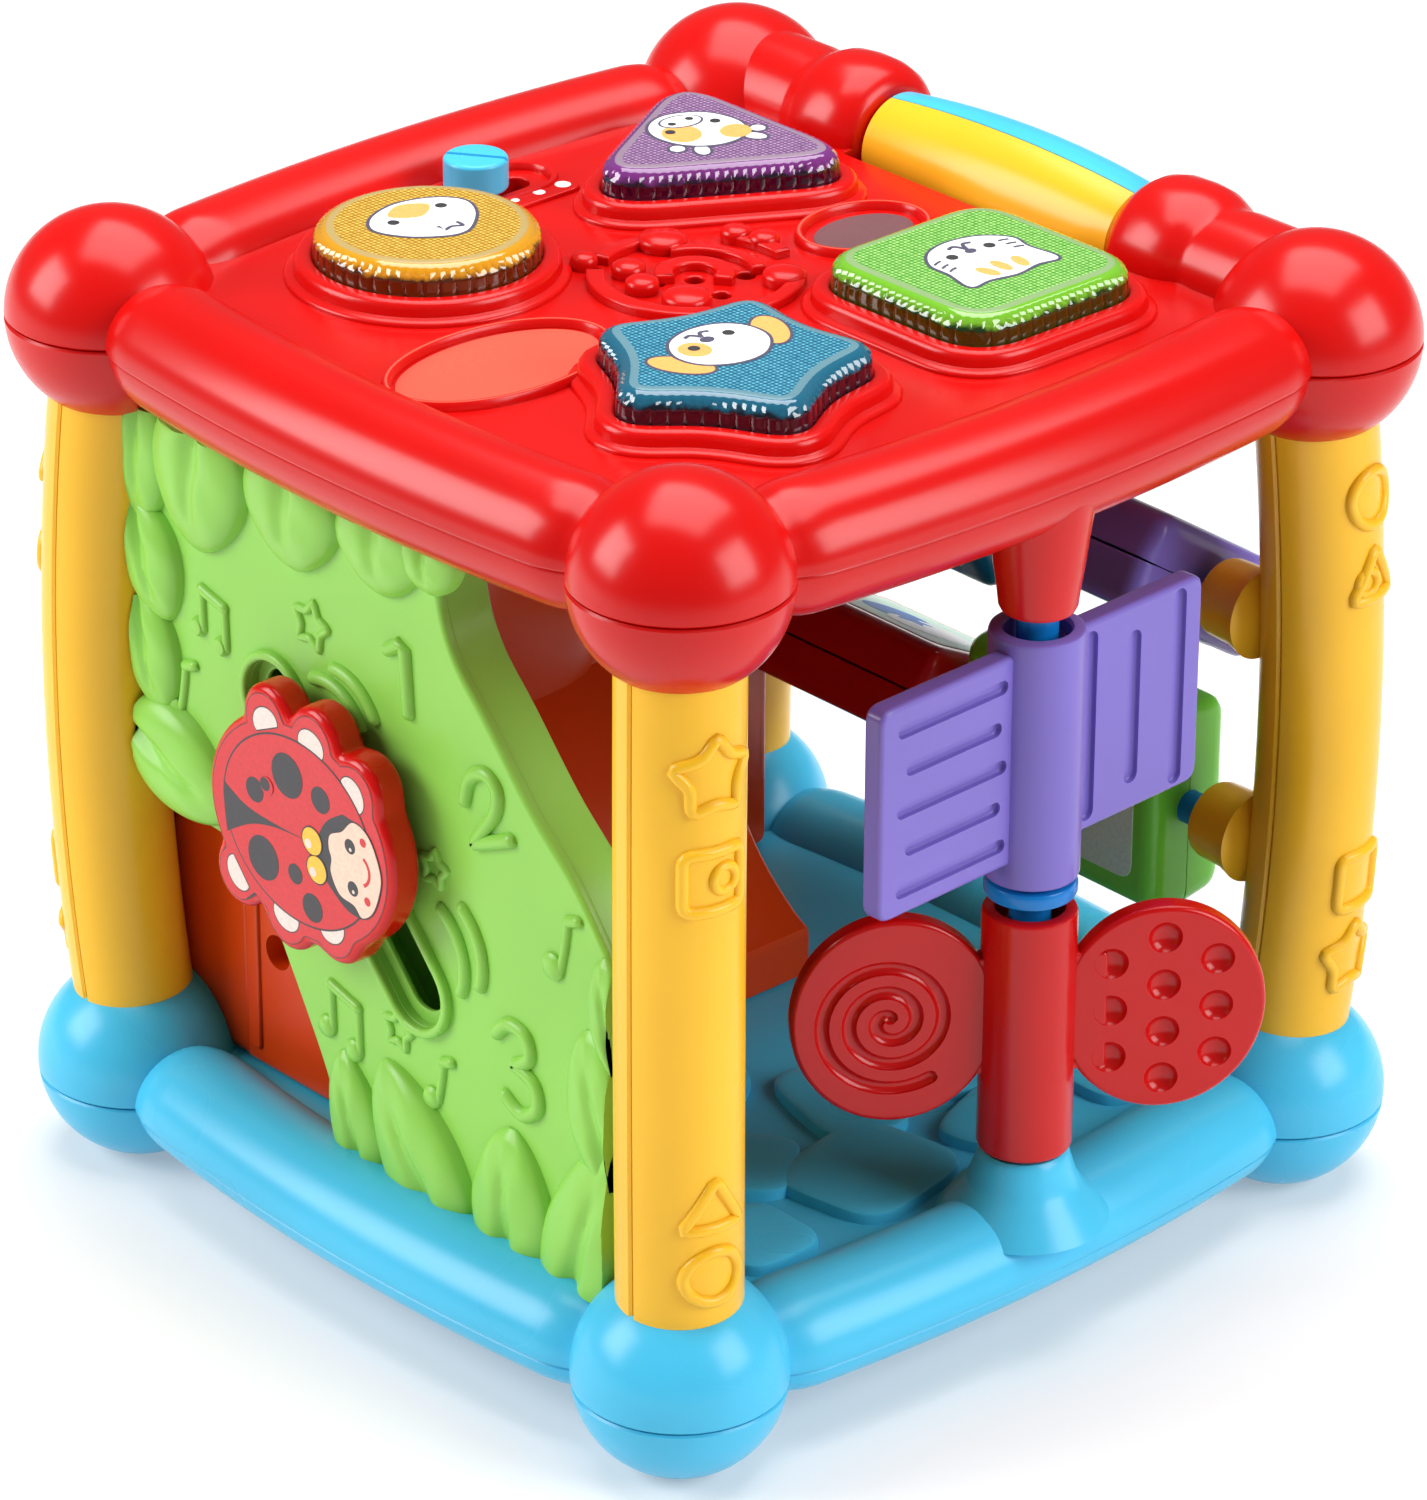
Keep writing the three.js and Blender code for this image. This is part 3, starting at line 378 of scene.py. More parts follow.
def ball_part(x, y, z, radius, low, high, lip=0.35, count=72):
    """A ball between two heights above its centre, with a softened edge at each flat cut."""
    profile = []
    bottom, top = math.asin(max(-1, low / radius)), math.asin(min(1, high / radius))
    if low > -radius:
        profile += [(0, low), (math.cos(bottom) * radius - lip, low)]
        bottom += lip / radius
    ceiling = top - lip / radius if high < radius else top
    steps = 30
    for i in range(steps + 1):
        angle = bottom + (ceiling - bottom) * i / steps
        profile.append((abs(math.cos(angle)) * radius, math.sin(angle) * radius))
    if high < radius:
        profile += [(math.cos(top) * radius - lip, high), (0, high)]
    profile[0], profile[-1] = (0, profile[0][1]), (0, profile[-1][1])
    return lathe(profile, "z", (x, y, z), count)


def half_round(radius, side, squash=1.0, lip=0.35, steps=20):
    """The section of half a rail, above (side 1) or below (side -1) its seam."""
    first = math.asin(0.7 / radius)
    arc = [first + (math.pi - 2 * first) * i / steps for i in range(steps + 1)]
    points = [(radius - lip, SEAM)] + [
        (radius * math.cos(a), radius * math.sin(a)) for a in arc
    ] + [(lip - radius, SEAM)]
    return [(u, side * v * squash) for u, v in points]


def shoulder(t):
    """How much of its full section a rail keeps at t, which is 1 at a ball's middle."""
    into = min(1.0, max(0.0, (abs(t) - 0.69) / 0.11))
    return 1 - 0.17 * into * into


def rail(side, z, section):
    """Sweeps a section along a bowed rail. side is its direction out from the cube's middle."""
    out, cross = Vector((side[0], side[1], 0)), Vector((-side[1], side[0], 0))
    rings = []
    steps = 60
    for i in range(steps + 1):
        t = 2 * i / steps - 1
        centre = out * (CORNER + RAIL_BOW * (1 - t * t)) + cross * CORNER * t + Vector((0, 0, z))
        along = (cross * CORNER - out * 2 * RAIL_BOW * t).normalized()
        normal = along.cross(Vector((0, 0, 1)))
        keep = shoulder(t)
        rings.append([centre + normal * u * keep + Vector((0, 0, v * keep)) for u, v in section])
    return loft(rings)


# ---- materials ----
def nodes_of(name):
    material = bpy.data.materials.new(name)
    material.use_nodes = True
    tree = material.node_tree
    return material, tree, tree.nodes["Principled BSDF"]


def feed(node, socket, source):
    node.id_data.links.new(source, node.inputs[socket])


def noise(tree, scale, detail=3.0, kind="ShaderNodeTexNoise", coordinates=None):
    texture = tree.nodes.new(kind)
    texture.inputs["Scale"].default_value = scale
    if "Detail" in texture.inputs:
        texture.inputs["Detail"].default_value = detail
    if coordinates is None:
        coordinates = tree.nodes.new("ShaderNodeTexCoord").outputs["Object"]
    feed(texture, "Vector", coordinates)
    return texture


def ramp(tree, source, stops):
    node = tree.nodes.new("ShaderNodeValToRGB")
    elements = node.color_ramp.elements
    while len(elements) < len(stops):
        elements.new(0.5)
    for element, (position, color) in zip(elements, stops):
        element.position = position
        element.color = (*color, 1)
    feed(node, "Fac", source)
    return node.outputs["Color"]


def spread(tree, source, low, high):
    node = tree.nodes.new("ShaderNodeMapRange")
    node.inputs["To Min"].default_value = low
    node.inputs["To Max"].default_value = high
    feed(node, "Value", source)
    return node.outputs["Result"]


def bump(tree, source, distance, strength=1.0, after=None):
    node = tree.nodes.new("ShaderNodeBump")
    node.inputs["Distance"].default_value = distance
    node.inputs["Strength"].default_value = strength
    feed(node, "Height", source)
    if after is not None:
        feed(node, "Normal", after)
    return node.outputs["Normal"]


def linear(rgb):
    return tuple((c / 255 / 12.92) if c <= 10 else ((c / 255 + 0.055) / 1.055) ** 2.4 for c in rgb)


def shade(color, factor):
    return tuple(min(1.0, c * factor) for c in color)


GRAIN, SCUFF = 0.00001, 0.03  # depth of moulded plastic's skin, in metres, and how its gloss varies


def plastic(name, rgb, rough=0.24):
    """Moulded toy plastic: even colour with slow drift, a fine skin, and faint rubbed patches."""
    material, tree, shader = nodes_of(name)
    color = linear(rgb)
    drift = noise(tree, 22, 2).outputs["Fac"]
    feed(shader, "Base Color", ramp(tree, drift, [(0.3, shade(color, 0.93)), (0.7, shade(color, 1.05))]))
    feed(shader, "Roughness", spread(tree, noise(tree, 38, 1).outputs["Fac"], rough - SCUFF, rough + SCUFF))
    skin = bump(tree, noise(tree, 2600, 3).outputs["Fac"], GRAIN, 0.35)
    feed(shader, "Normal", bump(tree, noise(tree, 45, 0).outputs["Fac"], 0.0003, 0.05, skin))
    shader.inputs["Specular IOR Level"].default_value = 0.34
    shader.inputs["Subsurface Weight"].default_value = 0.04
    shader.inputs["Subsurface Radius"].default_value = (0.004, 0.0025, 0.0015)
    shader.inputs["Subsurface Scale"].default_value = 0.6
    return material


def lens(name, rgb, dark, low=155.2, high=159.4):
    """Tinted clear plastic, with painted shade low down in its well and painted glints that grow brighter
    towards its top.
    """
    material, tree, shader = nodes_of(name)
    where = tree.nodes.new("ShaderNodeTexCoord").outputs["Object"]
    parts = tree.nodes.new("ShaderNodeSeparateXYZ")
    feed(parts, "Vector", where)
    height = tree.nodes.new("ShaderNodeMapRange")
    height.inputs["From Min"].default_value = low * MM
    height.inputs["From Max"].default_value = high * MM
    feed(height, "Value", parts.outputs["Z"])
    painted_glints_and_gloss = noise(tree, 420, 4, coordinates=where).outputs["Fac"]
    mixed = tree.nodes.new("ShaderNodeMath")
    mixed.operation = "MULTIPLY_ADD"
    mixed.inputs[1].default_value = 0.7
    tree.links.new(painted_glints_and_gloss, mixed.inputs[0])
    tree.links.new(height.outputs["Result"], mixed.inputs[2])
    # painted shade at the wall's foot, rising to the plain tint at its top; the noise adds painted glints and
    # also varies the gloss
    stops = [(0.8, shade(linear(dark), 0.55)), (1.25, linear(rgb))]
    feed(shader, "Base Color", ramp(tree, mixed.outputs["Value"], stops))
    feed(shader, "Roughness", spread(tree, painted_glints_and_gloss, 0.03, 0.12))
    shader.inputs["Transmission Weight"].default_value = 0.25
    shader.inputs["IOR"].default_value = 1.49
    shader.inputs["Coat Weight"].default_value = 1.0
    shader.inputs["Coat Roughness"].default_value = 0.03
    return material


def honeycomb(name, rgb, light, dark):
    """A button's top: a clear skin over rows of small cells, each with a painted highlight at its middle."""
    material, tree, shader = nodes_of(name)
    texture = noise(tree, 1250, 0, "ShaderNodeTexVoronoi")
    texture.inputs["Randomness"].default_value = 0.12
    cells = texture.outputs["Distance"]
    # the light colour is a painted highlight at each cell's middle; the dark colour fills the gaps between
    # cells
    stops = [(0.15, linear(light)), (0.38, linear(rgb)), (0.62, linear(dark))]
    feed(shader, "Base Color", ramp(tree, cells, stops))
    feed(shader, "Roughness", spread(tree, noise(tree, 60, 4).outputs["Fac"], 0.18, 0.3))
    feed(shader, "Normal", bump(tree, cells, 0.0001, 0.5))
    shader.inputs["Coat Weight"].default_value = 0.5
    shader.inputs["Coat Roughness"].default_value = 0.1
    return material


def ink(name, rgb, rough=0.42):
    """A printed colour with fine print grain."""
    material, tree, shader = nodes_of(name)
    color = linear(rgb)
    dots = noise(tree, 1500, 2).outputs["Fac"]
    feed(shader, "Base Color", ramp(tree, dots, [(0.35, shade(color, 0.93)), (0.65, shade(color, 1.04))]))
    feed(shader, "Roughness", spread(tree, noise(tree, 120, 3).outputs["Fac"], rough - 0.06, rough + 0.08))
    feed(shader, "Normal", bump(tree, noise(tree, 3200, 2).outputs["Fac"], 0.00001, 0.3))
    return material


def metal(name, rgb, rough=0.28):
    material, tree, shader = nodes_of(name)
    color = linear(rgb)
    drawn = noise(tree, 700, 5).outputs["Fac"]
    feed(shader, "Base Color", ramp(tree, drawn, [(0.3, shade(color, 0.8)), (0.7, color)]))
    feed(shader, "Roughness", spread(tree, drawn, rough - 0.08, rough + 0.12))
    shader.inputs["Metallic"].default_value = 1.0
    return material


RED = plastic("lid_red", (200, 11, 8))
SKY = plastic("sky_blue", (70, 186, 226), 0.28)
YELLOW = plastic("pillar_yellow", (240, 184, 38), 0.26)
GREEN = plastic("panel_green", (140, 202, 82), 0.3)
BUG_RED = plastic("ladybug_red", (206, 14, 10), 0.2)
ORANGE = plastic("gear_orange", (206, 62, 8), 0.26)
AXLE_BLUE = plastic("axle_blue", (14, 118, 196), 0.22)
PURPLE = plastic("spinner_purple", (118, 102, 186), 0.24)
CRIMSON = plastic("spinner_red", (190, 12, 12), 0.2)
TEAL = plastic("tumbler_teal", (10, 98, 140), 0.24)
LEAF = plastic("tumbler_green", (112, 206, 60), 0.26)
WHITE = plastic("white_plastic", (236, 236, 232), 0.4)
DARK = plastic("dark_parts", (38, 38, 40), 0.5)
BOARD = plastic("board_green", (24, 96, 52), 0.45)
STEEL = metal("steel", (186, 190, 194))
BATTERY = plastic("battery_skin", (44, 46, 52), 0.4)
LAMP = plastic("lamp_clear", (240, 240, 232), 0.12)
INK_BADGE = ink("ink_badge", (112, 74, 78))
INK_CORAL = ink("ink_coral", (226, 84, 62))
INK_WHITE = ink("ink_white", (250, 250, 248))
INK_CREAM = ink("ink_cream", (226, 210, 200))
INK_BLACK = ink("ink_black", (52, 50, 54))
INK_ORANGE = ink("ink_orange", (250, 172, 92))
INK_LINE = ink("ink_line", (78, 74, 96))
INK_SKIN = ink("ink_skin", (242, 200, 178))
INK_GOLD = ink("ink_gold", (250, 186, 52))
INK_RED = ink("ink_red", (206, 40, 46))
INK_BLUE = ink("ink_blue", (34, 120, 206))
INK_PALE = ink("ink_pale", (206, 236, 220))


# ---- lid and base ----
SIDES = [(0, -1), (1, 0), (0, 1), (-1, 0)]
BUTTONS = {
    "circle": (-35.3, -27.0, circle(16.8, 72)),
    "triangle": (-33.6, 30.2, regular(3, 25.6, -90, 12, 14)),
    "square": (31.6, 26.4, regular(4, 24.6, 45, 8, 12)),
    "star": (32.0, -25.6, star(22.4, 15.6, -88, 5, 8)),
}


def lug(side, upper):
    """The bearing that holds one end of the roller, half of it above the lid's seam."""
    start = ROLLER_HALF + 0.4
    steps = [
        (0, 0), (8.6, 0), (9.6, 0.5), (10.7, 1.4), (11.7, 3.0), (12.3, 5.4), (12.4, 9.0), (12.1, 12.0),
        (11.2, 14.2), (10.3, 15.6), (10.0, 17.0), (10.4, 19.5), (10.4, 30.0), (0, 30.0)
    ]
    profile = [(r, side * (start + h)) for r, h in steps]
    drop = math.degrees(math.asin((ROLLER_Z - TOP_Z - SEAM) / 12.4))
    first, sweep = (-drop, 180 + 2 * drop) if upper else (180 + drop, 180 - 2 * drop)
    return lathe(profile, "x", (0, ROLLER_Y, ROLLER_Z), 72, first, sweep)


def collar(x, y, outline):
    """The raised, rounded pad around a button's well."""
    profile = [
        (0.9, DECK_UNDER), (0.9, 154.1), (1.15, 154.6), (1.6, 154.85), (2.8, 154.85), (3.4, 154.65),
        (3.8, 154.2), (3.95, 153.6), (4.1, 152.5), (4.5, 152.3), (5.0, 152.2), (5.35, 151.95), (5.5, 151.6),
        (5.5, DECK_UNDER + 0.2)
    ]
    return around(at(resampled(outline, 1.2), x, y), profile, looped=True)


def rim(outline, width, height, base=DECK_TOP):
    profile = [
        (0, base - 0.3), (0, base + height * 0.5), (-0.25 * width, base + height),
        (-0.75 * width, base + height), (-width, base + height * 0.5), (-width, base - 0.3)
    ]
    return around(outline, profile, looped=True)


GRILLE_X, GRILLE_Y = -5.5, 1.5
GRILLE_DISCS = [
    (-18.5, 6.5, 3.9), (-13, 17, 2.5), (-8.3, 18.6, 2.5), (4.6, 11, 3.5), (1, -6, 3.9), (-13.5, -5, 2.7),
    (-7.5, -7.6, 2.7), (-20.5, -8, 2.2)
]


def grille():
    """Bubbles on raised arcs round a hook, over the speaker's holes."""
    parts = []
    arcs = [
        (15.6, 148, 206, 1.3), (16.2, 80, 116, 1.3), (15.8, -22, 42, 1.4), (15.4, 224, 328, 1.5),
        (10.2, 60, 160, 1.1), (4.9, 20, 250, 1.5)
    ]
    for radius, start, end, half in arcs:
        path = [polar(radius, start + (end - start) * k / 6) + Vector((GRILLE_X, GRILLE_Y)) for k in range(7)]
        parts.append(plate(
            [rounded(line(path, half, 5), 0.02, 1)], DECK_TOP - 0.3, DECK_TOP + 1.5, "z", 0.45
        ))
    for x, y, r in GRILLE_DISCS:
        profile = [
            (0, DECK_TOP - 0.2), (r * 0.94, DECK_TOP - 0.2), (r, DECK_TOP + 0.5), (r, DECK_TOP + 1.3),
            (r * 0.92, DECK_TOP + 1.9), (r * 0.7, DECK_TOP + 2.3), (r * 0.35, DECK_TOP + 2.5),
            (0, DECK_TOP + 2.55)
        ]
        parts.append(lathe(profile, "z", (x, y, 0), 40))
    return group(*parts)


def oval(x, y, rx, ry, count=72):
    return [Vector((x + rx * math.cos(a), y + ry * math.sin(a))) for a in angles(count)]


KNOB_X, KNOB_Y, KNOB_TRAVEL = -54.0, -1.2, 8.0


def deck():
    outer = rounded(
        [(-63, -63), (63, -63), (63, 62), (28.8, 62), (28.8, 54.6), (-28.8, 54.6), (-28.8, 62), (-63, 62)],
        0.8, 3
    )
    wells = [at(grown(outline, 1.2), x, y) for x, y, outline in BUTTONS.values()]
    slot = obround((KNOB_X, KNOB_Y), (KNOB_X, KNOB_Y + KNOB_TRAVEL), 2.4)
    holes = [
        circle(1.5, 16, GRILLE_X + x, GRILLE_Y + y)
        for x, y in [(0, 0), (7.2, -1), (4, 7), (-4, 7), (-7, 1), (-3, -5.5), (4.2, -5), (-1, 12)]
    ]
    return plate([outer, *wells, slot, *holes], DECK_UNDER, DECK_TOP, "z", 0.35)


def deck_marks():
    """The blank badges and the volume marks: 0 is the small badge's grey, 1 coral, 2 white."""
    level = DECK_TOP + 1.33
    parts = []
    for x, y, rx, ry in ((0, -43, 12.0, 19.8), (-2, 34, 9.0, 11.4)):
        parts.append(plate(
            [oval(x, y, rx, ry), oval(x, y, rx - 0.35, ry - 0.35)], level - 0.06, level + 0.02, "z", 0.01, 0
        ).painted(1))
    parts.append(plate([oval(-2, 34, 6.2, 9.0)], DECK_TOP - 0.1, DECK_TOP + 0.1, "z", 0.02, 0))
    parts.append(plate([oval(0, -43, 10.4, 18.2)], DECK_TOP - 0.1, DECK_TOP + 0.1, "z", 0.02, 0).painted(1))
    for y, size in ((1.0, 0.7), (6.0, 1.0), (11.0, 1.3)):
        parts.append(plate(
            [circle(size, 24, -47.1, y)], DECK_TOP + 0.6, DECK_TOP + 0.74, "z", 0.02, 0
        ).painted(2))
    return group(*parts)


def lid_upper():
    parts = [ball_part(sx * CORNER, sy * CORNER, TOP_Z, BALL_R, SEAM, BALL_R) for sx, sy in CORNERS.values()]
    parts += [rail(side, TOP_Z, half_round(RAIL_R, 1)) for side in SIDES if side != (0, 1)]
    parts += [lug(side, True) for side in (1, -1)]
    parts += [collar(x, y, outline) for x, y, outline in BUTTONS.values()]
    parts += [deck(), grille(), rim(oval(0, -43, 12.6, 20.4), 1.6, 1.3), rim(oval(-2, 34, 9.6, 12), 1.6, 1.3)]
    parts.append(rim(
        resampled(obround((KNOB_X, KNOB_Y - 1), (KNOB_X, KNOB_Y + KNOB_TRAVEL + 1), 6.4), 1.0), 1.6, 1.1
    ))
    parts.append(plate(
        [rectangle(-49.6, -44.6, -1.5, 13.5, 2.4, 6)], DECK_TOP - 0.3, DECK_TOP + 0.7, "z", 0.35
    ))
    return group(*parts)


def lid_lower():
    tub_half = [(62, -55.5), (62, 55.5), (55.4, 62), (55.4, 66)]
    tub = [(55.5, -62), *tub_half, *[(-x, y) for x, y in reversed(tub_half)], (-55.5, -62)]
    cradle = rail((0, 1), TOP_Z, half_round(RAIL_R, -1))
    trough = lathe([(0, -28.8), (12, -28.8), (12, 28.8), (0, 28.8)], "x", (0, ROLLER_Y, ROLLER_Z), 96)
    parts = [
        ball_part(sx * CORNER, sy * CORNER, TOP_Z, BALL_R, -BALL_R, -SEAM) for sx, sy in CORNERS.values()
    ]
    parts += [rail(side, TOP_Z, half_round(RAIL_R - LEDGE, -1)) for side in SIDES if side != (0, 1)]
    parts += [lug(side, False) for side in (1, -1)]
    parts += [carve(cradle, trough), carve(plate([rounded(tub, 1.2, 4)], TUB_FLOOR, TOP_Z, "z", 1.2), trough)]
    boss = [
        (0, 123.3), (4.8, 123.3), (5.6, 123.6), (6.0, 124.4), (6.3, 127), (6.9, 131), (7.5, 136),
        (8.2, 141), (8.5, 145), (0, 145)
    ]
    parts.append(lathe(boss, "z", (TWIRL_X, 0, 0)))
    return group(*parts)


PADS = [
    (47, -9, 11.5, 13, 10), (31.5, -23, 10, 9, 40), (50, -36, 8.5, 8, 0), (28, 3, 12, 8, -15),
    (49, 18, 8, 10, 20), (34, 26, 9, 8, 60), (10, -14, 9, 11, 30), (12, -38, 11, 9, 0), (33, -46, 9, 7, 10),
    (50, 43, 8, 9, 0)
]


def stepping_stone(x, y, a, b, turn):
    outline = []
    for angle in angles(48):
        c, s = math.cos(angle), math.sin(angle)
        reach = 1 / (c ** 4 + s ** 4) ** 0.25
        outline.append(Vector((c * a * reach, s * b * reach)))
    profile = [
        (0, BASE_DECK - 0.5), (0, BASE_DECK + 1.2), (-0.25, BASE_DECK + 1.8), (-0.9, BASE_DECK + 2.15),
        (-3, BASE_DECK + 2.2)
    ]
    return around(outline, profile).turned(turn).shifted(x, y)


def base_upper():
    parts = [
        ball_part(sx * CORNER, sy * CORNER, BASE_BALL_Z, BALL_R, BASE_RAIL_Z + SEAM - BASE_BALL_Z, BALL_R)
        for sx, sy in CORNERS.values()
    ]
    parts += [rail(side, BASE_RAIL_Z, half_round(RAIL_R, 1)) for side in SIDES]
    parts.append(plate([rectangle(-62, 62, -62, 62)], BASE_DECK - 2.4, BASE_DECK, "z", 0.2))
    parts += [stepping_stone(*pad) for pad in PADS]
    boss = [
        (0, 20), (13.5, 20), (11.0, 23.6), (9.3, 25.2), (8.4, 27), (7.4, 30), (7.1, 31.2), (6.5, 31.8),
        (0, 31.8)
    ]
    parts.append(lathe(boss, "z", (TWIRL_X, 0, 0)))
    return group(*parts)


def base_lower():
    parts = [ball_part(
        sx * CORNER, sy * CORNER, BASE_BALL_Z, BALL_R, -BASE_BALL_Z, BASE_RAIL_Z - SEAM - BASE_BALL_Z
    ) for sx, sy in CORNERS.values()]
    parts += [rail(side, BASE_RAIL_Z, half_round(RAIL_R - LEDGE, -1, RAIL_UNDER)) for side in SIDES]
    parts.append(plate([rectangle(-62, 62, -62, 62)], 6.8, 9, "z", 0.3))
    hatch = rectangle(-29.3, 29.3, 6.7, 43.3, 0.5)
    parts.append(plate([rectangle(-42, 42, -18, 50, 3, 6), hatch], 1.0, 7.5, "z", 0.8))
    for x in (-48, 48):
        for y in (-30, 0, 30):
            parts.append(carve(rod(4.2, 4.2, 7.2, "z", x, y), rod(2.4, 3.0, 6.2, "z", x, y)))
    parts += [plate([rectangle(-30, 30, y - 0.8, y + 0.8, 0.6)], 5.6, 7.0, "z", 0.3) for y in (-50, -40, -30)]
    return group(*parts)


# ---- pillars ----
def pillar_centre(sx, sy, z):
    t = (2 * z - PILLAR_LOW - PILLAR_HIGH) / (PILLAR_HIGH - PILLAR_LOW)
    bow = PILLAR_BOW * (1 - t * t)
    return Vector((sx * (CORNER + bow), sy * (CORNER + bow), z))


def pillar_half(sx, sy, out):
    """One half of a pillar: the section is a half circle on the side where x is sx * out."""
    first = math.asin(0.6 / PILLAR_R)
    arc = [first - math.pi / 2 + (math.pi - 2 * first) * i / 22 for i in range(23)]
    section = [(SEAM, 0.35 - PILLAR_R)] + [
        (PILLAR_R * math.cos(a), PILLAR_R * math.sin(a)) for a in arc
    ] + [(SEAM, PILLAR_R - 0.35)]
    rings = []
    for i in range(33):
        centre = pillar_centre(sx, sy, 26.5 + (135.8 - 26.5) * i / 32)
        rings.append([centre + Vector((sx * out * u, v, 0)) for u, v in section])
    return loft(rings)


def on_pillar(sx, sy, outline, z):
    """A ridge that follows an outline laid on the pillar's +X or -X side."""
    path = []
    for p in resampled(outline, 0.7):
        centre = pillar_centre(sx, sy, z + p.y)
        across = p.x + 1.6 * sy
        path.append(centre + Vector((sx * math.sqrt(PILLAR_R ** 2 - across ** 2), across, 0)))
    return tube(path, 1.0, closed=True, sides=10, up=(sx, 0, 0))


def emblems(sx, sy, order):
    kinds = {
        "star": star(6.3, 3.9, 90, 1.0, 3), "square": regular(4, 6.5, 45, 1.4, 4),
        "triangle": regular(3, 5.6, 90, 1.2, 4), "circle": circle(4.5, 32)
    }
    return [on_pillar(sx, sy, kinds[kind], z) for kind, z in order]


def pillar_stubs(sx):
    profile = [(0, 49.9), (5.4, 49.9), (6.2, 50.3), (6.5, 51.2), (6.7, 56), (7.6, 59), (0, 62)]
    return [lathe([(r, sx * x) for r, x in profile], "x", (0, TUMBLE_Y, z), 48) for z in TUMBLE_Z.values()]


EMBLEM_ORDER = {
    "front_right": [("star", 120), ("square", 104), ("triangle", 49), ("circle", 37.5)],
    "back_right": [("circle", 122), ("triangle", 108), ("square", 56), ("star", 42)],
    "front_left": [("triangle", 120), ("circle", 104), ("square", 50), ("star", 38)],
    "back_left": [("square", 120), ("star", 104), ("circle", 50), ("triangle", 38)],
}


def dimple(sx, sy, z):
    """A shallow screw well on the pillar's outer side, as a raised ring."""
    centre = pillar_centre(sx, sy, z) + Vector((sx * (PILLAR_R - 0.15), 0, 0))
    ring = [centre + Vector((0, 2.0 * math.cos(a), 2.0 * math.sin(a))) for a in angles(24)]
    return tube(ring, 0.8, closed=True, sides=10, up=(sx, 0, 0))


# ---- roller ----
def roller_half(front):
    profile = [(0, -ROLLER_HALF), (7.4, -ROLLER_HALF)]
    for i in range(25):
        t = 2 * i / 24 - 1
        profile.append((8.4 + 1.8 * (1 - t * t), t * (ROLLER_HALF - 0.8)))
    profile += [(7.4, ROLLER_HALF), (0, ROLLER_HALF)]
    start = 90 + ROLLER_SPLIT if front else -90 + ROLLER_SPLIT
    return lathe(profile, "x", (0, ROLLER_Y, ROLLER_Z), 96, start + 0.6, 178.8)


# ---- buttons ----
def wavy(outline, pitch, pattern, levels):
    """Rings of an outline at (offset, height, depth) steps, where depth pushes the pattern's points inwards."""
    outline = resampled(outline, pitch)
    normals = outward(outline)
    rings = []
    for offset, z, depth in levels:
        rings.append([
            Vector((*(p + n * (offset - depth * pattern[i % len(pattern)])), z))
            for i, (p, n) in enumerate(zip(outline, normals))
        ])
    return loft(rings)


def cap_side(outline):
    """A cap's grooved wall, and the row of teeth round its top edge."""
    wall = [
        (1.4, 149.2, 0.25), (1.35, 150.0, 0.25), (0.85, 156.6, 0.25), (0.8, 157.3, 0.2), (0.3, 157.9, 0.0)
    ]
    teeth = [
        (0.5, 156.9, 0.1), (0.75, 157.3, 0.25), (0.6, 158.0, 0.4), (0.0, 158.8, 0.35), (-0.7, 159.15, 0.1),
        (-1.3, CAP_TOP - 0.14, 0.0)
    ]
    return group(wavy(outline, 0.42, (1, 0, 0, 0, 0, 0), wall), wavy(outline, 0.75, (1, 0), teeth))


def cap_top(outline):
    """The flat top: a clear band round it, and the field of cells inside the band."""
    outline = resampled(grown(resampled(outline, 1.0), -1.1), 0.9)
    band = around(outline, [(0, CAP_TOP - 0.6), (0, CAP_TOP - 0.2), (-0.35, CAP_TOP), (-1.3, CAP_TOP + 0.01)])
    field = around(outline, [(-1.25, CAP_TOP - 0.3), (-1.25, CAP_TOP - 0.01), (-1.35, CAP_TOP + 0.02)])
    return group(band.painted(2), field.painted(1))


def layer(outlines, level, slot):
    """A printed patch on a cap: its border first, then what lies on it, each a hair higher."""
    low = CAP_TOP + 0.02 + 0.03 * level
    return plate(outlines, low - 0.05, low + 0.05, "z", 0.01, 0).painted(slot)


def egg(x, y, rx, ry, turn=0.0):
    spin = Matrix.Rotation(math.radians(turn), 2)
    return [Vector((x, y)) + spin @ p for p in oval(0, 0, rx, ry, 40)]


def head(outline, extras):
    """White face with a dark border, and then its features as (outline, slot)."""
    parts = [layer([grown(outline, 0.55)], 1, 0), layer([outline], 2, 1)]
    parts += [layer([shape], 3 + i * 0.3, slot) for i, (shape, slot) in enumerate(extras)]
    return group(*parts)


def line(points, width=0.32, steps=6):
    """A stroked path as a closed outline."""
    path = curve_through(points, steps)
    sides = []
    for i, p in enumerate(path):
        along = (path[min(i + 1, len(path) - 1)] - path[max(i - 1, 0)]).normalized()
        sides.append(Vector((-along.y, along.x)) * width)
    return [p + s for p, s in zip(path, sides)] + [p - s for p, s in reversed(list(zip(path, sides)))]


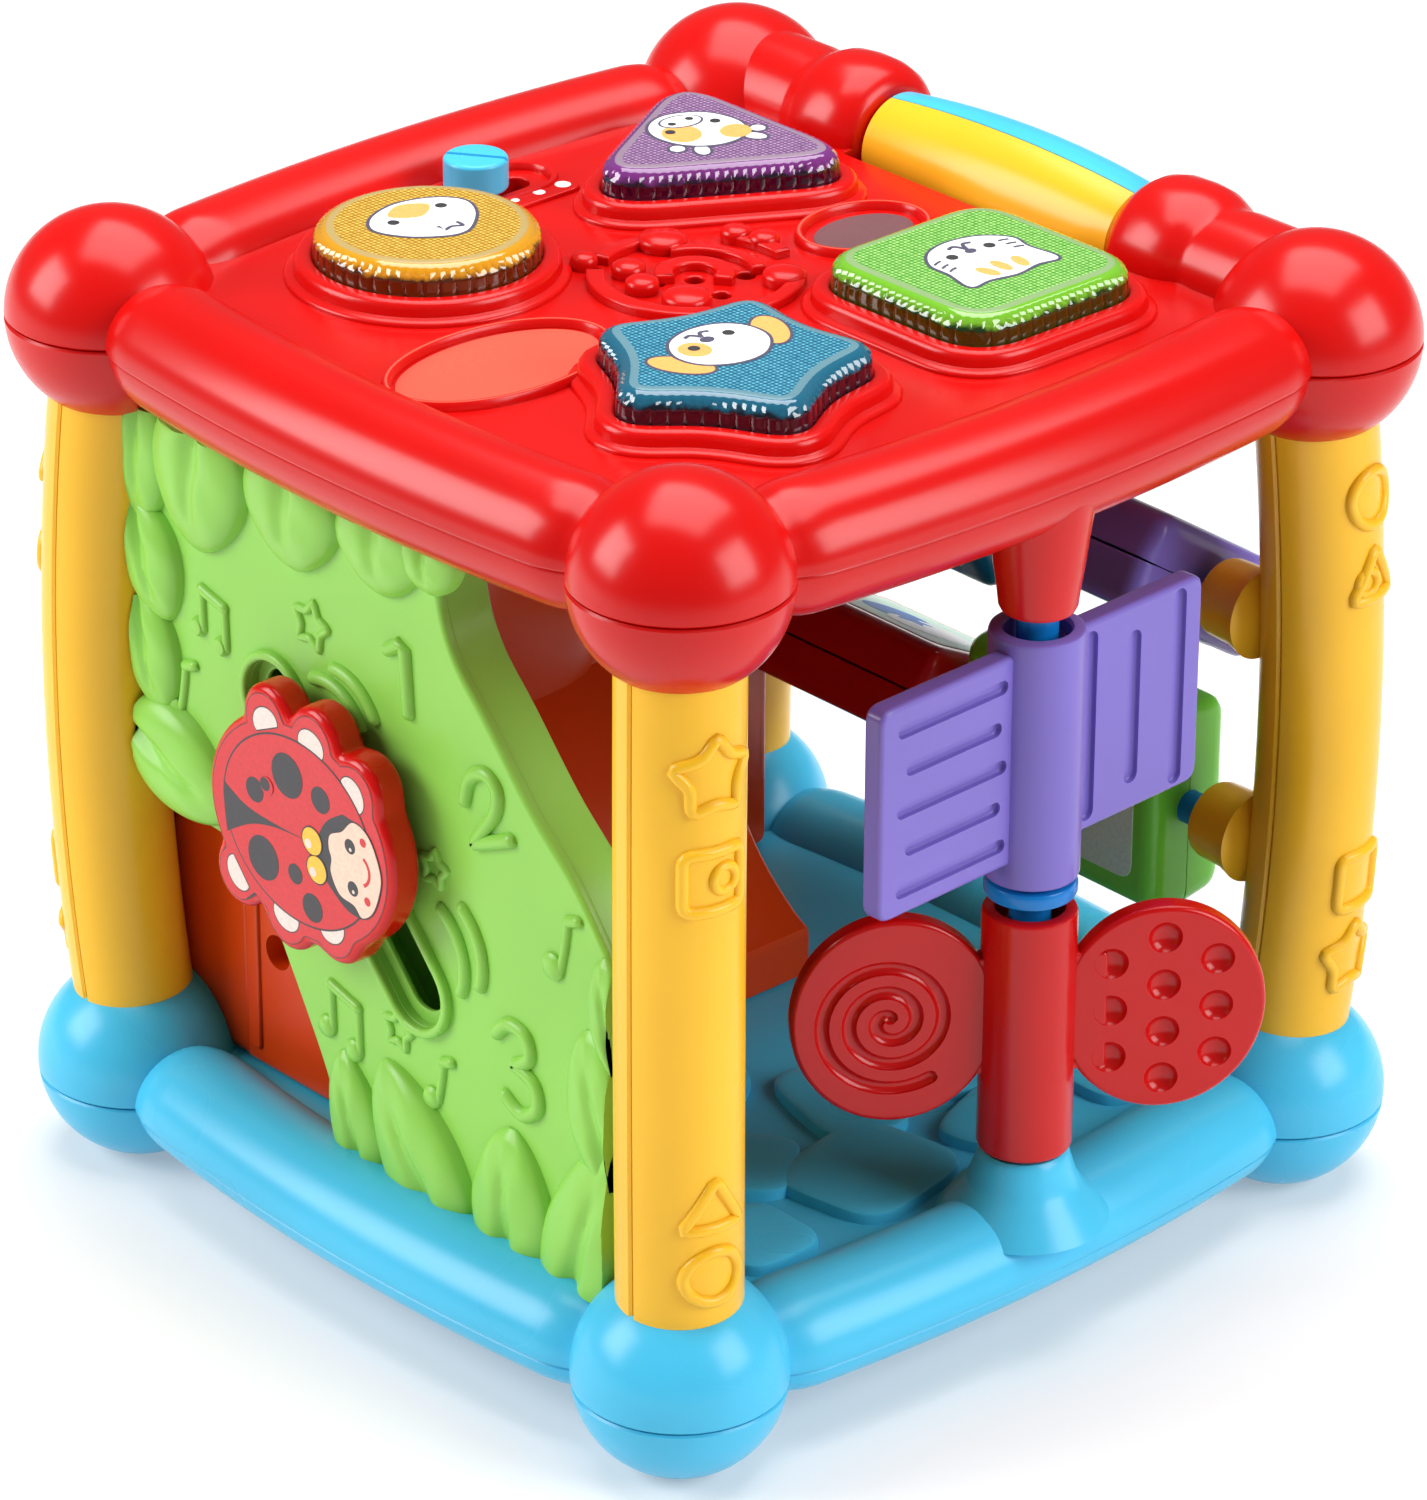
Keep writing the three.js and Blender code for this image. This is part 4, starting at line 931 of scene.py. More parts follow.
PRINT_MATERIALS = [INK_LINE, INK_WHITE, INK_ORANGE, INK_BLACK]
PRINTS = {
    "circle": (
        curve_through([
            (-44.3, -26), (-42.5, -32), (-38.5, -35), (-33.5, -33), (-30, -29), (-28.8, -25.6),
            (-30, -22.5), (-34, -18.4), (-38.6, -16.8), (-42.6, -20)
        ], 6, True),
        [
            (curve_through([(-43.6, -26), (-40.9, -30), (-37.8, -26), (-40.9, -22)], 5, True), 2),
            (egg(-39.2, -20.9, 0.95, 0.95), 3), (egg(-38.7, -30.9, 0.95, 0.95), 3),
            (line([(-33, -26.8), (-31.2, -27), (-31.6, -25.2), (-30.8, -23.6), (-32.6, -23.4)]), 0)
        ]
    ),
    "triangle": (
        curve_through([
            (-44.2, 30), (-42.5, 25.2), (-38.5, 23), (-33, 24), (-29.6, 28), (-29.4, 33), (-32.6, 36.8),
            (-37, 37.4), (-41.6, 35.4)
        ], 6, True),
        [
            (egg(-31.9, 34.2, 2.5, 2.9, 30), 2), (egg(-36.6, 26.9, 3.2, 3.7, 60), 2),
            (egg(-40.6, 30.3, 2.6, 3.9, -12), 0), (egg(-40.6, 30.3, 2.2, 3.5, -12), 1),
            (egg(-40.6, 32.1, 0.7, 0.7), 3), (egg(-40.6, 28.4, 0.7, 0.7), 3),
            (egg(-37.2, 34.6, 0.85, 0.85), 3), (egg(-38.2, 25.9, 0.85, 0.85), 3)
        ]
    ),
    "square": (
        curve_through([
            (23.8, 27), (25, 22), (28.6, 18.9), (33, 18.6), (38.6, 17.6), (38.6, 21.6), (39.6, 26.6),
            (38.9, 31.4), (39.2, 35.6), (33, 35.2), (29, 35.8), (25.2, 32.4)
        ], 6, True),
        [
            (egg(36.4, 30.2, 2.2, 1.1, -14), 2), (egg(35.8, 26.8, 2.3, 1.1), 2),
            (egg(36.2, 23.6, 2.2, 1.1, 14), 2), (egg(28.9, 31.0, 0.95, 0.95), 3),
            (egg(28.6, 23.4, 0.95, 0.95), 3), (egg(28.6, 27.3, 0.8, 1.0), 0),
            (line([(27.8, 27.3), (25.9, 28.2), (26.2, 29.6)]), 0),
            (line([(27.8, 27.3), (25.8, 26.4), (26.1, 25.0)]), 0),
            *[
                (line([(x, y), (x + 0.15, y + side * 0.8), (x + 0.5, y + side * 1.7)], 0.2, 3), 0)
                for side, y in ((1, 33.2), (-1, 20.9)) for x in (28.6, 30.3, 32.0)
            ]
        ]
    ),
    "star": (
        curve_through([
            (22.6, -25.6), (24.4, -30.6), (28.8, -33.2), (33.4, -32), (36.3, -27.4), (36, -22), (32, -17.8),
            (27, -17.6), (23.6, -20.6)
        ], 6, True),
        [
            (egg(28.6, -29.4, 2.7, 2.5), 2), (egg(27.2, -21.4, 0.95, 0.95), 3),
            (egg(28.2, -29.2, 0.95, 0.95), 3), (egg(27.0, -25.5, 1.0, 1.2), 0),
            (line([(25.8, -25.5), (24.4, -24.6), (24.8, -23.2)]), 0),
            (line([(25.8, -25.5), (24.3, -26.5), (24.6, -27.8)]), 0)
        ]
    ),
}
EARS = {
    "star": [egg(30.4, -15.9, 5.2, 2.7, -28), egg(31.4, -34.6, 5.2, 2.7, 28)],
    "triangle": [
        egg(-28.4, 35.2, 1.9, 1.2, 30), egg(-29.4, 24.8, 1.9, 1.2, -30), egg(-30.6, 37.8, 1.2, 1.2),
        egg(-32.4, 22.2, 1.2, 1.2)
    ],
}
# each row: cell, painted highlight in each cell, gap between cells, wall, painted shade deep in the wall's well
CAP_COLORS = {
    "circle": ((206, 162, 52), (246, 214, 110), (150, 104, 18), (236, 168, 24), (112, 56, 2)),
    "triangle": ((140, 104, 146), (206, 172, 202), (98, 62, 108), (130, 52, 138), (48, 6, 52)),
    "square": ((122, 190, 84), (206, 236, 150), (66, 134, 44), (128, 204, 48), (34, 84, 8)),
    "star": ((48, 132, 160), (128, 206, 222), (14, 78, 108), (26, 110, 140), (10, 26, 48)),
}


def make_button(kind):
    x, y, outline = BUTTONS[kind]
    # depth is the colour of the painted shade deep in the wall's well
    cell, cell_highlight, gap, wall, depth = CAP_COLORS[kind]
    side = cap_side(outline).shifted(x, y)
    top = cap_top(outline).shifted(x, y)
    frost = tuple((c + g) / 2 for c, g in zip(cell, (150, 142, 138)))
    materials = [
        lens(f"{kind}_lens", wall, depth), honeycomb(f"{kind}_cells", cell, cell_highlight, gap),
        plastic(f"{kind}_band", frost, 0.16)
    ]
    place(f"{kind}_cap", group(side, top), materials, f"{kind}_cap", [f"{kind}_button"])
    face, features = PRINTS[kind]
    ears = [layer([grown(ear, 0.5)], 0, 0) for ear in EARS.get(kind, [])]
    ears += [layer([ear], 0.6, 2 if kind == "star" else 1) for ear in EARS.get(kind, [])]
    place(
        f"{kind}_print", group(*ears, head(face, features)), PRINT_MATERIALS, f"{kind}_cap",
    )


def knob():
    body = plate([circle(5.2, 48)], DECK_TOP + 1.4, 158.2, "z", 0.7)
    groove = plate([rectangle(-6, 6, -0.45, 0.45, 0.2, 2)], 157.4, 160, "z", 0.1).turned(35)
    stem = rod(2.0, DECK_UNDER - 1.5, DECK_TOP + 2, "z")
    return group(carve(body, groove), stem).shifted(KNOB_X, KNOB_Y)


# ---- spinner on the +X side ----
def barrel(z0, z1):
    radius = BARREL_R
    profile = [
        (4.0, z0), (radius - 0.7, z0), (radius - 0.2, z0 + 0.25), (radius, z0 + 0.8), (radius, z1 - 0.8),
        (radius - 0.2, z1 - 0.25), (radius - 0.7, z1), (radius - 1.9, z1), (radius - 2.3, z1 - 0.5),
        (radius - 2.3, z1 - 4), (4.0, z1 - 4), (4.0, z0)
    ]
    rings = [[Vector((r * math.cos(a), r * math.sin(a), h)) for r, h in profile[:-1]] for a in angles(64)]
    return loft(rings, looped=True)


def vane(outline, slots, width, turn):
    """A flat blade out along +X with grooves pressed into both faces."""
    blade = plate([outline], -1.9, 1.9, "y", 0.8)
    for face in (-1, 1):
        low, high = sorted((face * 0.9, face * 3.0))
        blade = carve(
            blade, group(*[plate([obround(a, b, width, 8)], low, high, "y", 0.35) for a, b in slots])
        )
    return blade.turned(turn)


def purple_twirler():
    low, high, reach = 83.5, 118.4, 34.8
    blade = rounded([(4, low), (reach, low), (reach, high), (4, high)], 2.6)
    across = [
        ((10.4, 87.6 + 6.6 * i), (28.4, 87.6 + 6.6 * i)) if i % 2
        else ((9.2, 87.6 + 6.6 * i), (30.2, 87.6 + 6.6 * i)) for i in range(5)
    ]
    down = [((9.9, 86.6), (9.9, 115.4)), ((19.6, 89.6), (19.6, 112.4)), ((29.6, 86.0), (29.6, 116.0))]
    return group(
        barrel(*PURPLE_SPAN), vane(blade, across, 1.15, -88), vane(blade, down, 1.5, 92)
    ).shifted(x=TWIRL_X)


def red_twirler():
    reach, z, heading = 20.7, 55.6, 54.3
    disc = plate([oval(reach, z, 15.98, 17.4, 96)], -1.9, 1.9, "y", 0.9)
    web = plate([rounded([(2, z - 10), (12, z - 10), (12, z + 10), (2, z + 10)], 1)], -1.7, 1.7, "y", 0.4)
    pits, coils = [], []
    for face in (-1, 1):
        for column, rows in ((-8.2, (-1, 0, 1)), (0, (-1.5, -0.5, 0.5, 1.5)), (8.2, (-1, 0, 1))):
            for row in rows:
                pit = lathe(
                    [(0, -1.2), (1.5, -1.05), (2.3, -0.5), (2.7, 0.25), (2.7, 1.2), (0, 1.2)], "y", count=28
                )
                pit.moved(Matrix.Diagonal((1, face, 1, 1))).shifted(
                    reach + column, face * 1.75, z + row * 8.1
                )
                pits.append(pit)
        turns = [polar(11.8 - 4.2 * k / 40, 237 + 9 * k) for k in range(106)]
        coils.append(tube(
            [Vector((reach + 0.8 + p.x, face * 2.2, z + p.y)) for p in turns], 1.25, up=(0, 1, 0), sides=12
        ))
    dotted = carve(disc, group(*pits))
    coiled = carve(carve(disc, coils[0]), coils[1])
    return group(
        barrel(*RED_SPAN), group(coiled, web).turned(heading + 180), group(dotted, web).turned(heading)
    ).shifted(x=TWIRL_X)


def twirl_axle():
    profile = [
        (0, 24), (3.2, 24), (3.2, 75.9), (6.2, 75.9), (6.9, 76.2), (7.2, 76.8), (7.2, 78), (6.9, 78.6),
        (6.2, 78.9), (3.2, 78.9), (3.2, 129), (0, 129)
    ]
    return lathe(profile, "z", (TWIRL_X, 0, 0), 48)


# ---- tumblers on the +Y side ----
TUMBLERS = {
    "purple": (25.8, TUMBLE_Z["upper"], 57, PURPLE, "spinner_purple"),
    "teal": (-23.5, TUMBLE_Z["upper"], 30, TEAL, "tumbler_teal"),
    "green": (22.6, TUMBLE_Z["lower"], 0, LEAF, "tumbler_green"),
    "red": (-23.7, TUMBLE_Z["lower"], 63, CRIMSON, "spinner_red"),
}


def tumbler_half(front, x, z, turn):
    thick, half, length = 8.2, 18.2, 44.0
    side = -1 if front else 1
    corners = [(0.15, half), (0.15, -half), (thick, 1.2 - half), (thick, half - 1.2)]
    section = [Vector((side * p.x, p.y)) for p in rounded(corners, 0.4, 3)[:8]]
    section += [Vector((side * p.x, p.y)) for p in rounded(corners, 3.0, 8)[18:]]
    rings = []
    for inset, along in (
        (3.0, 0.0), (1.5, 0.25), (0.6, 0.8), (0.1, 1.9), (0, 3.2), (0, length - 3.2), (0.1, length - 1.9),
        (0.6, length - 0.8), (1.5, length - 0.25), (3.0, length)
    ):
        scale_y, scale_z = 1 - inset / thick, 1 - inset / half
        rings.append([Vector((along - length / 2, p.x * scale_y, p.y * scale_z)) for p in section])
    return loft(rings).turned(turn, "X").shifted(x, TUMBLE_Y, z)


def drop(scale):
    return [
        Vector((scale * 1.0 * math.sin(a) * math.sin(a / 2) ** 1.2, scale * 1.3 * math.cos(a)))
        for a in angles(40)
    ]


def tumbler_sticker(side, x, z, turn, picture):
    """A printed label on one broad face. The picture is a list of (outline, slot)."""
    face = side * 8.2
    shape = Shape()
    shape.add(plate(
        [rectangle(-17.5, 17.5, -12.5, 12.5, 3)], *sorted((face, face + side * 0.12)), "y", 0.02, 0
    ))
    for i, (outline, slot) in enumerate(picture):
        low, high = sorted((face + side * 0.05, face + side * (0.16 + 0.03 * i)))
        shape.add(plate([outline], low, high, "y", 0.01, 0).painted(slot))
    return shape.turned(turn, "X").shifted(x, TUMBLE_Y, z)


# ---- green panel and ladybug ----
def panel_outline():
    sweep = curve_through(
        [(54, 77.5), (45, 89), (35, 98), (25, 109), (18, 116.5), (14.6, 124), (13.2, PANEL_TOP)], 8
    )
    left = curve_through([(-26, 53.5), (-20, 43), (-15, 33.5), (-12, 24.8)], 6)
    border = [
        Vector(p)
        for p in ((-57.6, PANEL_TOP), (-58, 112), (-58, 90), (-57.5, 68), (-50, 66.5), (-40, 66), (-36, 64))
    ]
    return sweep + border + left + [Vector((54, 24.8))]


# each row: root x, z, heading, length, half width, height
LEAVES = [
    (12, 137, -80, 11, 7, 3.0), (1, 138, -84, 16, 10.5, 3.4), (-19, 139, -90, 20, 11.5, 3.8),
    (-40, 140, -95, 26, 11.5, 4.2), (-55, 138, -92, 24, 6.5, 3.4), (-57, 118, -72, 20, 7.5, 3.6),
    (-57, 102, -76, 20, 7.0, 3.4), (-61, 80, -20, 27, 9.5, 4.2), (-3, 17, 108, 24, 6.5, 3.2),
    (18, 15, 124, 33, 10, 4.2), (31, 16, 92, 27, 9.5, 4.0), (43, 13, 73, 38, 10, 4.2),
    (54, 42, 104, 26, 8.0, 3.4), (55, 62, 102, 19, 5.0, 2.8),
]


def leaf_height(t, s):
    """How far a leaf stands out at t along it and s across it, from nothing at its edge to about 1."""
    dome = (1 - abs(s) ** 3) ** 0.5 * math.sin(math.pi * (0.12 + 0.88 * t)) ** 0.4
    crease = 0.5 * math.exp(-(s / (0.1 + 0.1 * (1 - t))) ** 2) * max(0.0, 1 - t / 0.78) ** 0.6
    veins = 0.04 * math.sin(15 * (t - 0.4 * abs(s))) * (1 - s * s)
    return dome * (1 - crease + veins)


def leaf(x, z, heading, length, half, height):
    """A plump pointed leaf with a crease down its middle, cut off where it reaches the panel's border."""
    spin = Matrix.Rotation(math.radians(heading), 2)
    rows, columns = 26, 28
    front, back = [], []
    for i in range(rows + 1):
        t = (i + 0.2) / (rows + 0.4)
        width = half * math.sin(math.pi * t ** 0.82) ** 0.56
        for k in range(columns + 1):
            s = 2 * k / columns - 1
            p = Vector((x, z)) + spin @ Vector((t * length, s * width))
            p = Vector((min(max(p.x, -57.6), 53.9), min(max(p.y, 22.9), PANEL_TOP - 0.1)))
            front.append(Vector((p.x, PANEL_FRONT + 0.4 - height * leaf_height(t, s), p.y)))
            back.append(Vector((p.x, PANEL_FRONT + 0.9, p.y)))
    shape = Shape(front + back)
    wide, top = columns + 1, len(front)
    for i in range(rows):
        for k in range(columns):
            a = i * wide + k
            shape.faces += [
                (a, a + 1, a + wide + 1, a + wide),
                (a + top, a + wide + top, a + wide + 1 + top, a + 1 + top)
            ]
    edge = [i * wide for i in range(rows, 0, -1)] + list(range(columns)) + [
        i * wide + columns for i in range(rows)
    ] + list(range(rows * wide + columns, rows * wide, -1))
    shape.faces += [(a, b, b + top, a + top) for a, b in zip(edge, edge[1:] + edge[:1])]
    return shape.painted(0)


def relief(points, radius=0.9, closed=False, smooth=True):
    """A rounded ridge standing half out of the panel, along points given as (x, z)."""
    path = curve_through(points, 8, closed) if smooth else [Vector(p) for p in points]
    return tube([Vector((p.x, PANEL_FRONT, p.y)) for p in path], radius, closed=closed, sides=14)


def relief_star(x, z, size, turn=90):
    return relief(at(star(size, size * 0.55, turn, size * 0.12, 2), x, z), 0.75, True, False)


def relief_head(x, z, r):
    profile = [(0, 0.4), (r, 0.4), (r * 0.95, -0.5), (r * 0.7, -1.0), (0, -1.2)]
    return lathe([(a, PANEL_FRONT + b) for a, b in profile], "y", (x, 0, z), 32)


def note(x, z, size=1.0):
    """A single note: head low on the left, stem up, and a flag to the right."""
    stem = [(x + 1.6 * size, z), (x + 2.6 * size, z + 4.5 * size), (x + 3.2 * size, z + 8.5 * size)]
    parts = [relief_head(x, z, 2.3 * size), relief(stem, 0.8)]
    parts.append(relief([stem[-1], (x + 5.4 * size, z + 9.2 * size)], 1.0))
    return group(*parts)


def beamed(x, z, size=1.0, lean=-0.25):
    top = 7.5 * size
    left, right = Vector((x, z)), Vector((x + 6.2 * size, z - 1.6 * size))
    parts = [
        relief_head(left.x - 1.3 * size, left.y, 1.9 * size),
        relief_head(right.x - 1.3 * size, right.y, 1.9 * size)
    ]
    parts += [relief([(p.x, p.y), (p.x + lean * size, p.y + top)], 0.8) for p in (left, right)]
    parts.append(relief([(left.x + lean * size, left.y + top), (right.x + lean * size, right.y + top)], 1.0))
    return group(*parts)


def digits():
    one = [(2.8, 113.6), (5.4, 115.3), (6.6, 115.0), (7.3, 104.6)]
    two = curve_through(
        [(20, 94.8), (21.3, 99), (24.6, 100.9), (27.4, 99.4), (27, 95.4), (23.6, 90.6), (22.2, 88.4)], 6
    )
    two += [Vector((26, 90)), Vector((30.4, 92))]
    three = curve_through([(26.8, 58), (29.6, 60.6), (33.6, 60), (34.2, 56.4), (31, 54.2)], 6) + \
        curve_through([(31, 54.2), (35.4, 52.6), (36, 48.6), (32.6, 46.2), (28.6, 48)], 6)
    return [
        relief(one, 1.25, smooth=False), relief(two, 1.25, smooth=False), relief(three, 1.25, smooth=False)
    ]


def sound_waves():
    arcs = [
        ((9.6, 65.4), 9.8, -22, 62), ((13.4, 67.6), 10.2, -18, 56), ((-12, 93.6), 9.2, 30, 110),
        ((-9.2, 96.2), 9.4, 28, 96)
    ]
    parts = []
    for (x, z), radius, start, end in arcs:
        path = [Vector((x, z)) + polar(radius, start + (end - start) * k / 16) for k in range(17)]
        parts.append(relief(path, 1.2, smooth=False))
    return parts


def slot_point(distance):
    return SLOT_FROM + (SLOT_TO - SLOT_FROM).normalized() * distance


def green_panel():
    outline = panel_outline()
    window = obround(SLOT_FROM, SLOT_TO, 6.3)
    face = plate([outline, window], PANEL_FRONT, PANEL_BACK, "y", 0.9, 4)
    inner = grown(resampled(outline, 1.6), -2.4)
    wall = plate([grown(resampled(outline, 1.6), -0.1), inner], PANEL_FRONT + 1.1, -57.6, "y", 0.5)
    floor = plate(
        [obround(SLOT_FROM, SLOT_TO, 6.6), obround(SLOT_FROM, SLOT_TO, 4.2)], PANEL_BACK - 0.9, PANEL_BACK,
        "y", 0.3
    )
    pocket = [plate(
        [obround(SLOT_FROM, SLOT_TO, 12.6), obround(SLOT_FROM, SLOT_TO, 11.6)], PANEL_BACK - 0.4, -57.9,
        "y", 0.2
    ), plate([obround(SLOT_FROM, SLOT_TO, 12.5)], -58.9, -57.7, "y", 0.3)]
    rim_ring = plate(
        [obround(SLOT_FROM, SLOT_TO, 7.9), window], PANEL_FRONT - 1.4, PANEL_FRONT + 0.6, "y", 0.65
    )
    well = plate(
        [obround(SLOT_FROM, SLOT_TO, 6.6), obround(SLOT_FROM, SLOT_TO, 6.25)], PANEL_FRONT,
        PANEL_BACK - 0.1, "y", 0.1, 0
    )
    parts = [
        face, wall, floor, *pocket, rim_ring, well, *[leaf(*row) for row in LEAVES], *digits(),
        *sound_waves()
    ]
    parts += [
        relief_star(-15.5, 111, 4.2, 80), relief_star(3.5, 48.8, 3.4, 84), relief_star(12.6, 80.4, 3.2, 84)
    ]
    parts += [
        beamed(-42, 101, 0.9), beamed(-12.5, 42.5, 1.05), note(-50, 84.4, size=1.0),
        note(39.8, 74.6, size=1.05), note(11.4, 40.4, size=0.85)
    ]
    return group(*parts)


BUG_FEET = [(18, 115), (16.8, 78), (17.6, 41), (15.8, -61), (16.4, -103), (20.1, -140)]


def bug_outline(rx=22.2, rz=18.8, foot=5.7, count=220):
    outline = []
    for i in range(count):
        ray = polar(1, 360 * i / count)
        reaches = [1 / math.hypot(ray.x / rx, ray.y / rz)]
        for distance, bearing in BUG_FEET:
            middle = polar(distance, bearing)
            miss = abs(ray.x * middle.y - ray.y * middle.x)
            if ray.dot(middle) > 0 and miss < foot:
                reaches.append(ray.dot(middle) + math.sqrt(foot ** 2 - miss ** 2))
        outline.append(ray * sum(reach ** 26 for reach in reaches) ** (1 / 26))
    return at(outline, BUG_X, BUG_Z)


def bug_layer(outlines, level, slot):
    y = BUG_FRONT - 0.02 - 0.02 * level
    return plate(outlines, y - 0.05, y + 0.06, "y", 0.01, 0).painted(slot)


def ladybug_print():
    """The printed back and face, with painted shade and a painted glint on the screw well that the print
    covers: 0 and 5 red, 1 black, 2 cream, 3 skin, 4 gold.
    """
    oval_ring = oval(-9.5, 81, 18.0, 15.6, 96)
    feet = []
    for distance, bearing in BUG_FEET:
        middle = polar(distance - 0.4, bearing) + Vector((BUG_X, BUG_Z))
        feet.append(
            [
                middle
                + Matrix.Rotation(math.radians(bearing - 90), 2) @ Vector(
                    (3.0 * math.cos(a), 2.5 * max(-0.35, math.sin(a)))
                ) for a in angles(32)
            ]
        )
    parts = [
        bug_layer([bug_outline(20.9, 17.5, 4.4)], 0, 1),
        bug_layer([bug_outline(20.75, 17.35, 4.25)], 0.6, 0)
    ]
    parts += [
        bug_layer([grown(foot, 0.22)], 1, 1) for foot in feet
    ] + [bug_layer([foot], 2, 2) for foot in feet]
    parts += [bug_layer([oval_ring], 3, 1), bug_layer([grown(oval_ring, -0.32)], 4, 0)]
    wedge = curve_through(
        [(-27.3, 83.2), (-22, 80.9), (-15, 80.3), (-8, 80.3), (-15, 79.7), (-21, 78), (-26.8, 74.6)], 6
    ) + [Vector((-27.3, 78.6))]
    hood = curve_through(
        [(1.4, 88.2), (-2.6, 85.4), (-4.8, 81), (-3.6, 76.2), (1.4, 72.4), (5.2, 71.8)], 6
    ) + curve_through([(7.0, 74.2), (8.4, 80.6), (6.6, 86.6), (4.4, 88.0)], 6)
    face = curve_through([
        (3.6, 87.6), (1.2, 85.2), (-1.6, 83.6), (-2.0, 81.4), (-1.4, 79.6), (-1.6, 77.2), (0.4, 74.2),
        (3.8, 73.6), (5.6, 72.2), (8.0, 73.8), (9.6, 77.2), (10.2, 81.0), (8.4, 85.4), (6.2, 87.4)
    ], 6, True)
    parts += [
        bug_layer([wedge], 5, 1), bug_layer([hood], 5, 1), bug_layer([grown(face, 0.25)], 6, 1),
        bug_layer([face], 7, 3)
    ]
    for x, z, r in (
        (-11.7, 89.8, 3.7), (-3.8, 88.6, 2.2), (-19.7, 84.4, 2.1), (-18, 73.3, 3.7), (-10.3, 73.5, 1.7),
        (-6.3, 69.2, 2.4)
    ):
        parts.append(bug_layer([circle(r, 40, x, z)], 6, 1))
    for x, z in ((-6, 80.8), (-5, 76.3)):
        parts += [
            bug_layer([circle(2.5, 32, x, z)], 8, 1), bug_layer([circle(2.25, 32, x, z)], 9, 4),
            bug_layer([circle(0.8, 20, x - 0.9, z - 0.7)], 10, 2)
        ]
    for x, z in ((3.1, 83.4), (3.6, 76.4)):
        parts += [
            bug_layer([circle(1.25, 28, x, z)], 8, 1), bug_layer([circle(0.32, 16, x + 0.1, z - 0.5)], 9, 2)
        ]
    parts += [bug_layer([circle(0.75, 20, x, z)], 8, 5) for x, z in ((6.2, 85.2), (7.0, 75.5))]
    # a red disc under an offset black disc: painted shade inside the screw well that the print covers, and a
    # red crescent on its rim as a painted glint
    parts += [
        bug_layer([circle(1.5, 28, -16.6, 86.2)], 11, 0), bug_layer([circle(1.15, 24, -17.0, 86.4)], 12, 1)
    ]
    smile = [Vector((5.0, 80.2)) + polar(2.6, -62 + 124 * k / 10) for k in range(11)]
    parts.append(bug_layer([line(smile, 0.3, 2)], 8, 5))
    return group(*parts)


def ladybug():
    body = plate([bug_outline()], BUG_FRONT, BUG_BACK, "y", 1.5, 5)
    bead = plate(
        [bug_outline(21.0, 17.6, 4.5), bug_outline(20.3, 16.9, 3.8)], BUG_FRONT - 0.05, BUG_FRONT + 0.5,
        "y", 0.12
    )
    stem = plate([obround(slot_point(12.4), slot_point(27), 3.6)], BUG_BACK - 1, PANEL_BACK + 0.4, "y", 0.2)
    well = rod(1.7, BUG_FRONT - 1, BUG_FRONT + 3.5, "y", -17, 85.5, 0.1)
    return group(carve(body, well), bead, stem)


# ---- orange side and its gears ----
GEARS = {
    "upper": (-18.3, 106.1, 16.0, 8, YELLOW, "pillar_yellow"),
    "middle": (1.5, 76.0, 20.0, 10, SKY, "sky_blue"),
    "lower": (21.0, 45.7, 16.0, 8, GREEN, "panel_green"),
}


def bearing(a, b):
    return math.degrees(math.atan2(b[1] - a[1], b[0] - a[0]))


def gear_phases():
    upper, middle, lower = (GEARS[k] for k in ("upper", "middle", "lower"))
    phase = {"middle": bearing(middle, upper), "upper": bearing(upper, middle) + 180 / upper[3]}
    crests = (bearing(middle, lower) - phase["middle"]) * middle[3] / 360
    miss = (crests - round(crests)) * 360 / middle[3]
    phase["lower"] = bearing(lower, middle) + 180 / lower[3] + miss * middle[3] / lower[3]
    return phase


def gear(kind, phase):
    y, z, radius, teeth, _, _ = GEARS[kind]
    count = teeth * 24
    outline = []
    for i in range(count):
        angle = 360 * i / count
        outline.append(polar(radius - 0.75 + 1.5 * math.cos(math.radians(teeth * (angle - phase))), angle))
    disc = plate([outline, circle(3.9, 40)], -73.4, -67.8, "x", 1.1, 4)
    ring = [plate([circle(radius * 0.72, 72), circle(radius * 0.6, 72)], -73.9, -73.2, "x", 0.3)]
    spokes = [lathe(
        [(0, -73.2), (1.9, -73.2), (1.9, -73.7), (1.4, -74.0), (0, -74.05)], "x",
        (0, *polar(radius * 0.42, 60 * k)), 24
    ) for k in range(6)] if kind == "middle" else []
    return group(disc, *ring, *spokes).shifted(0, y, z)


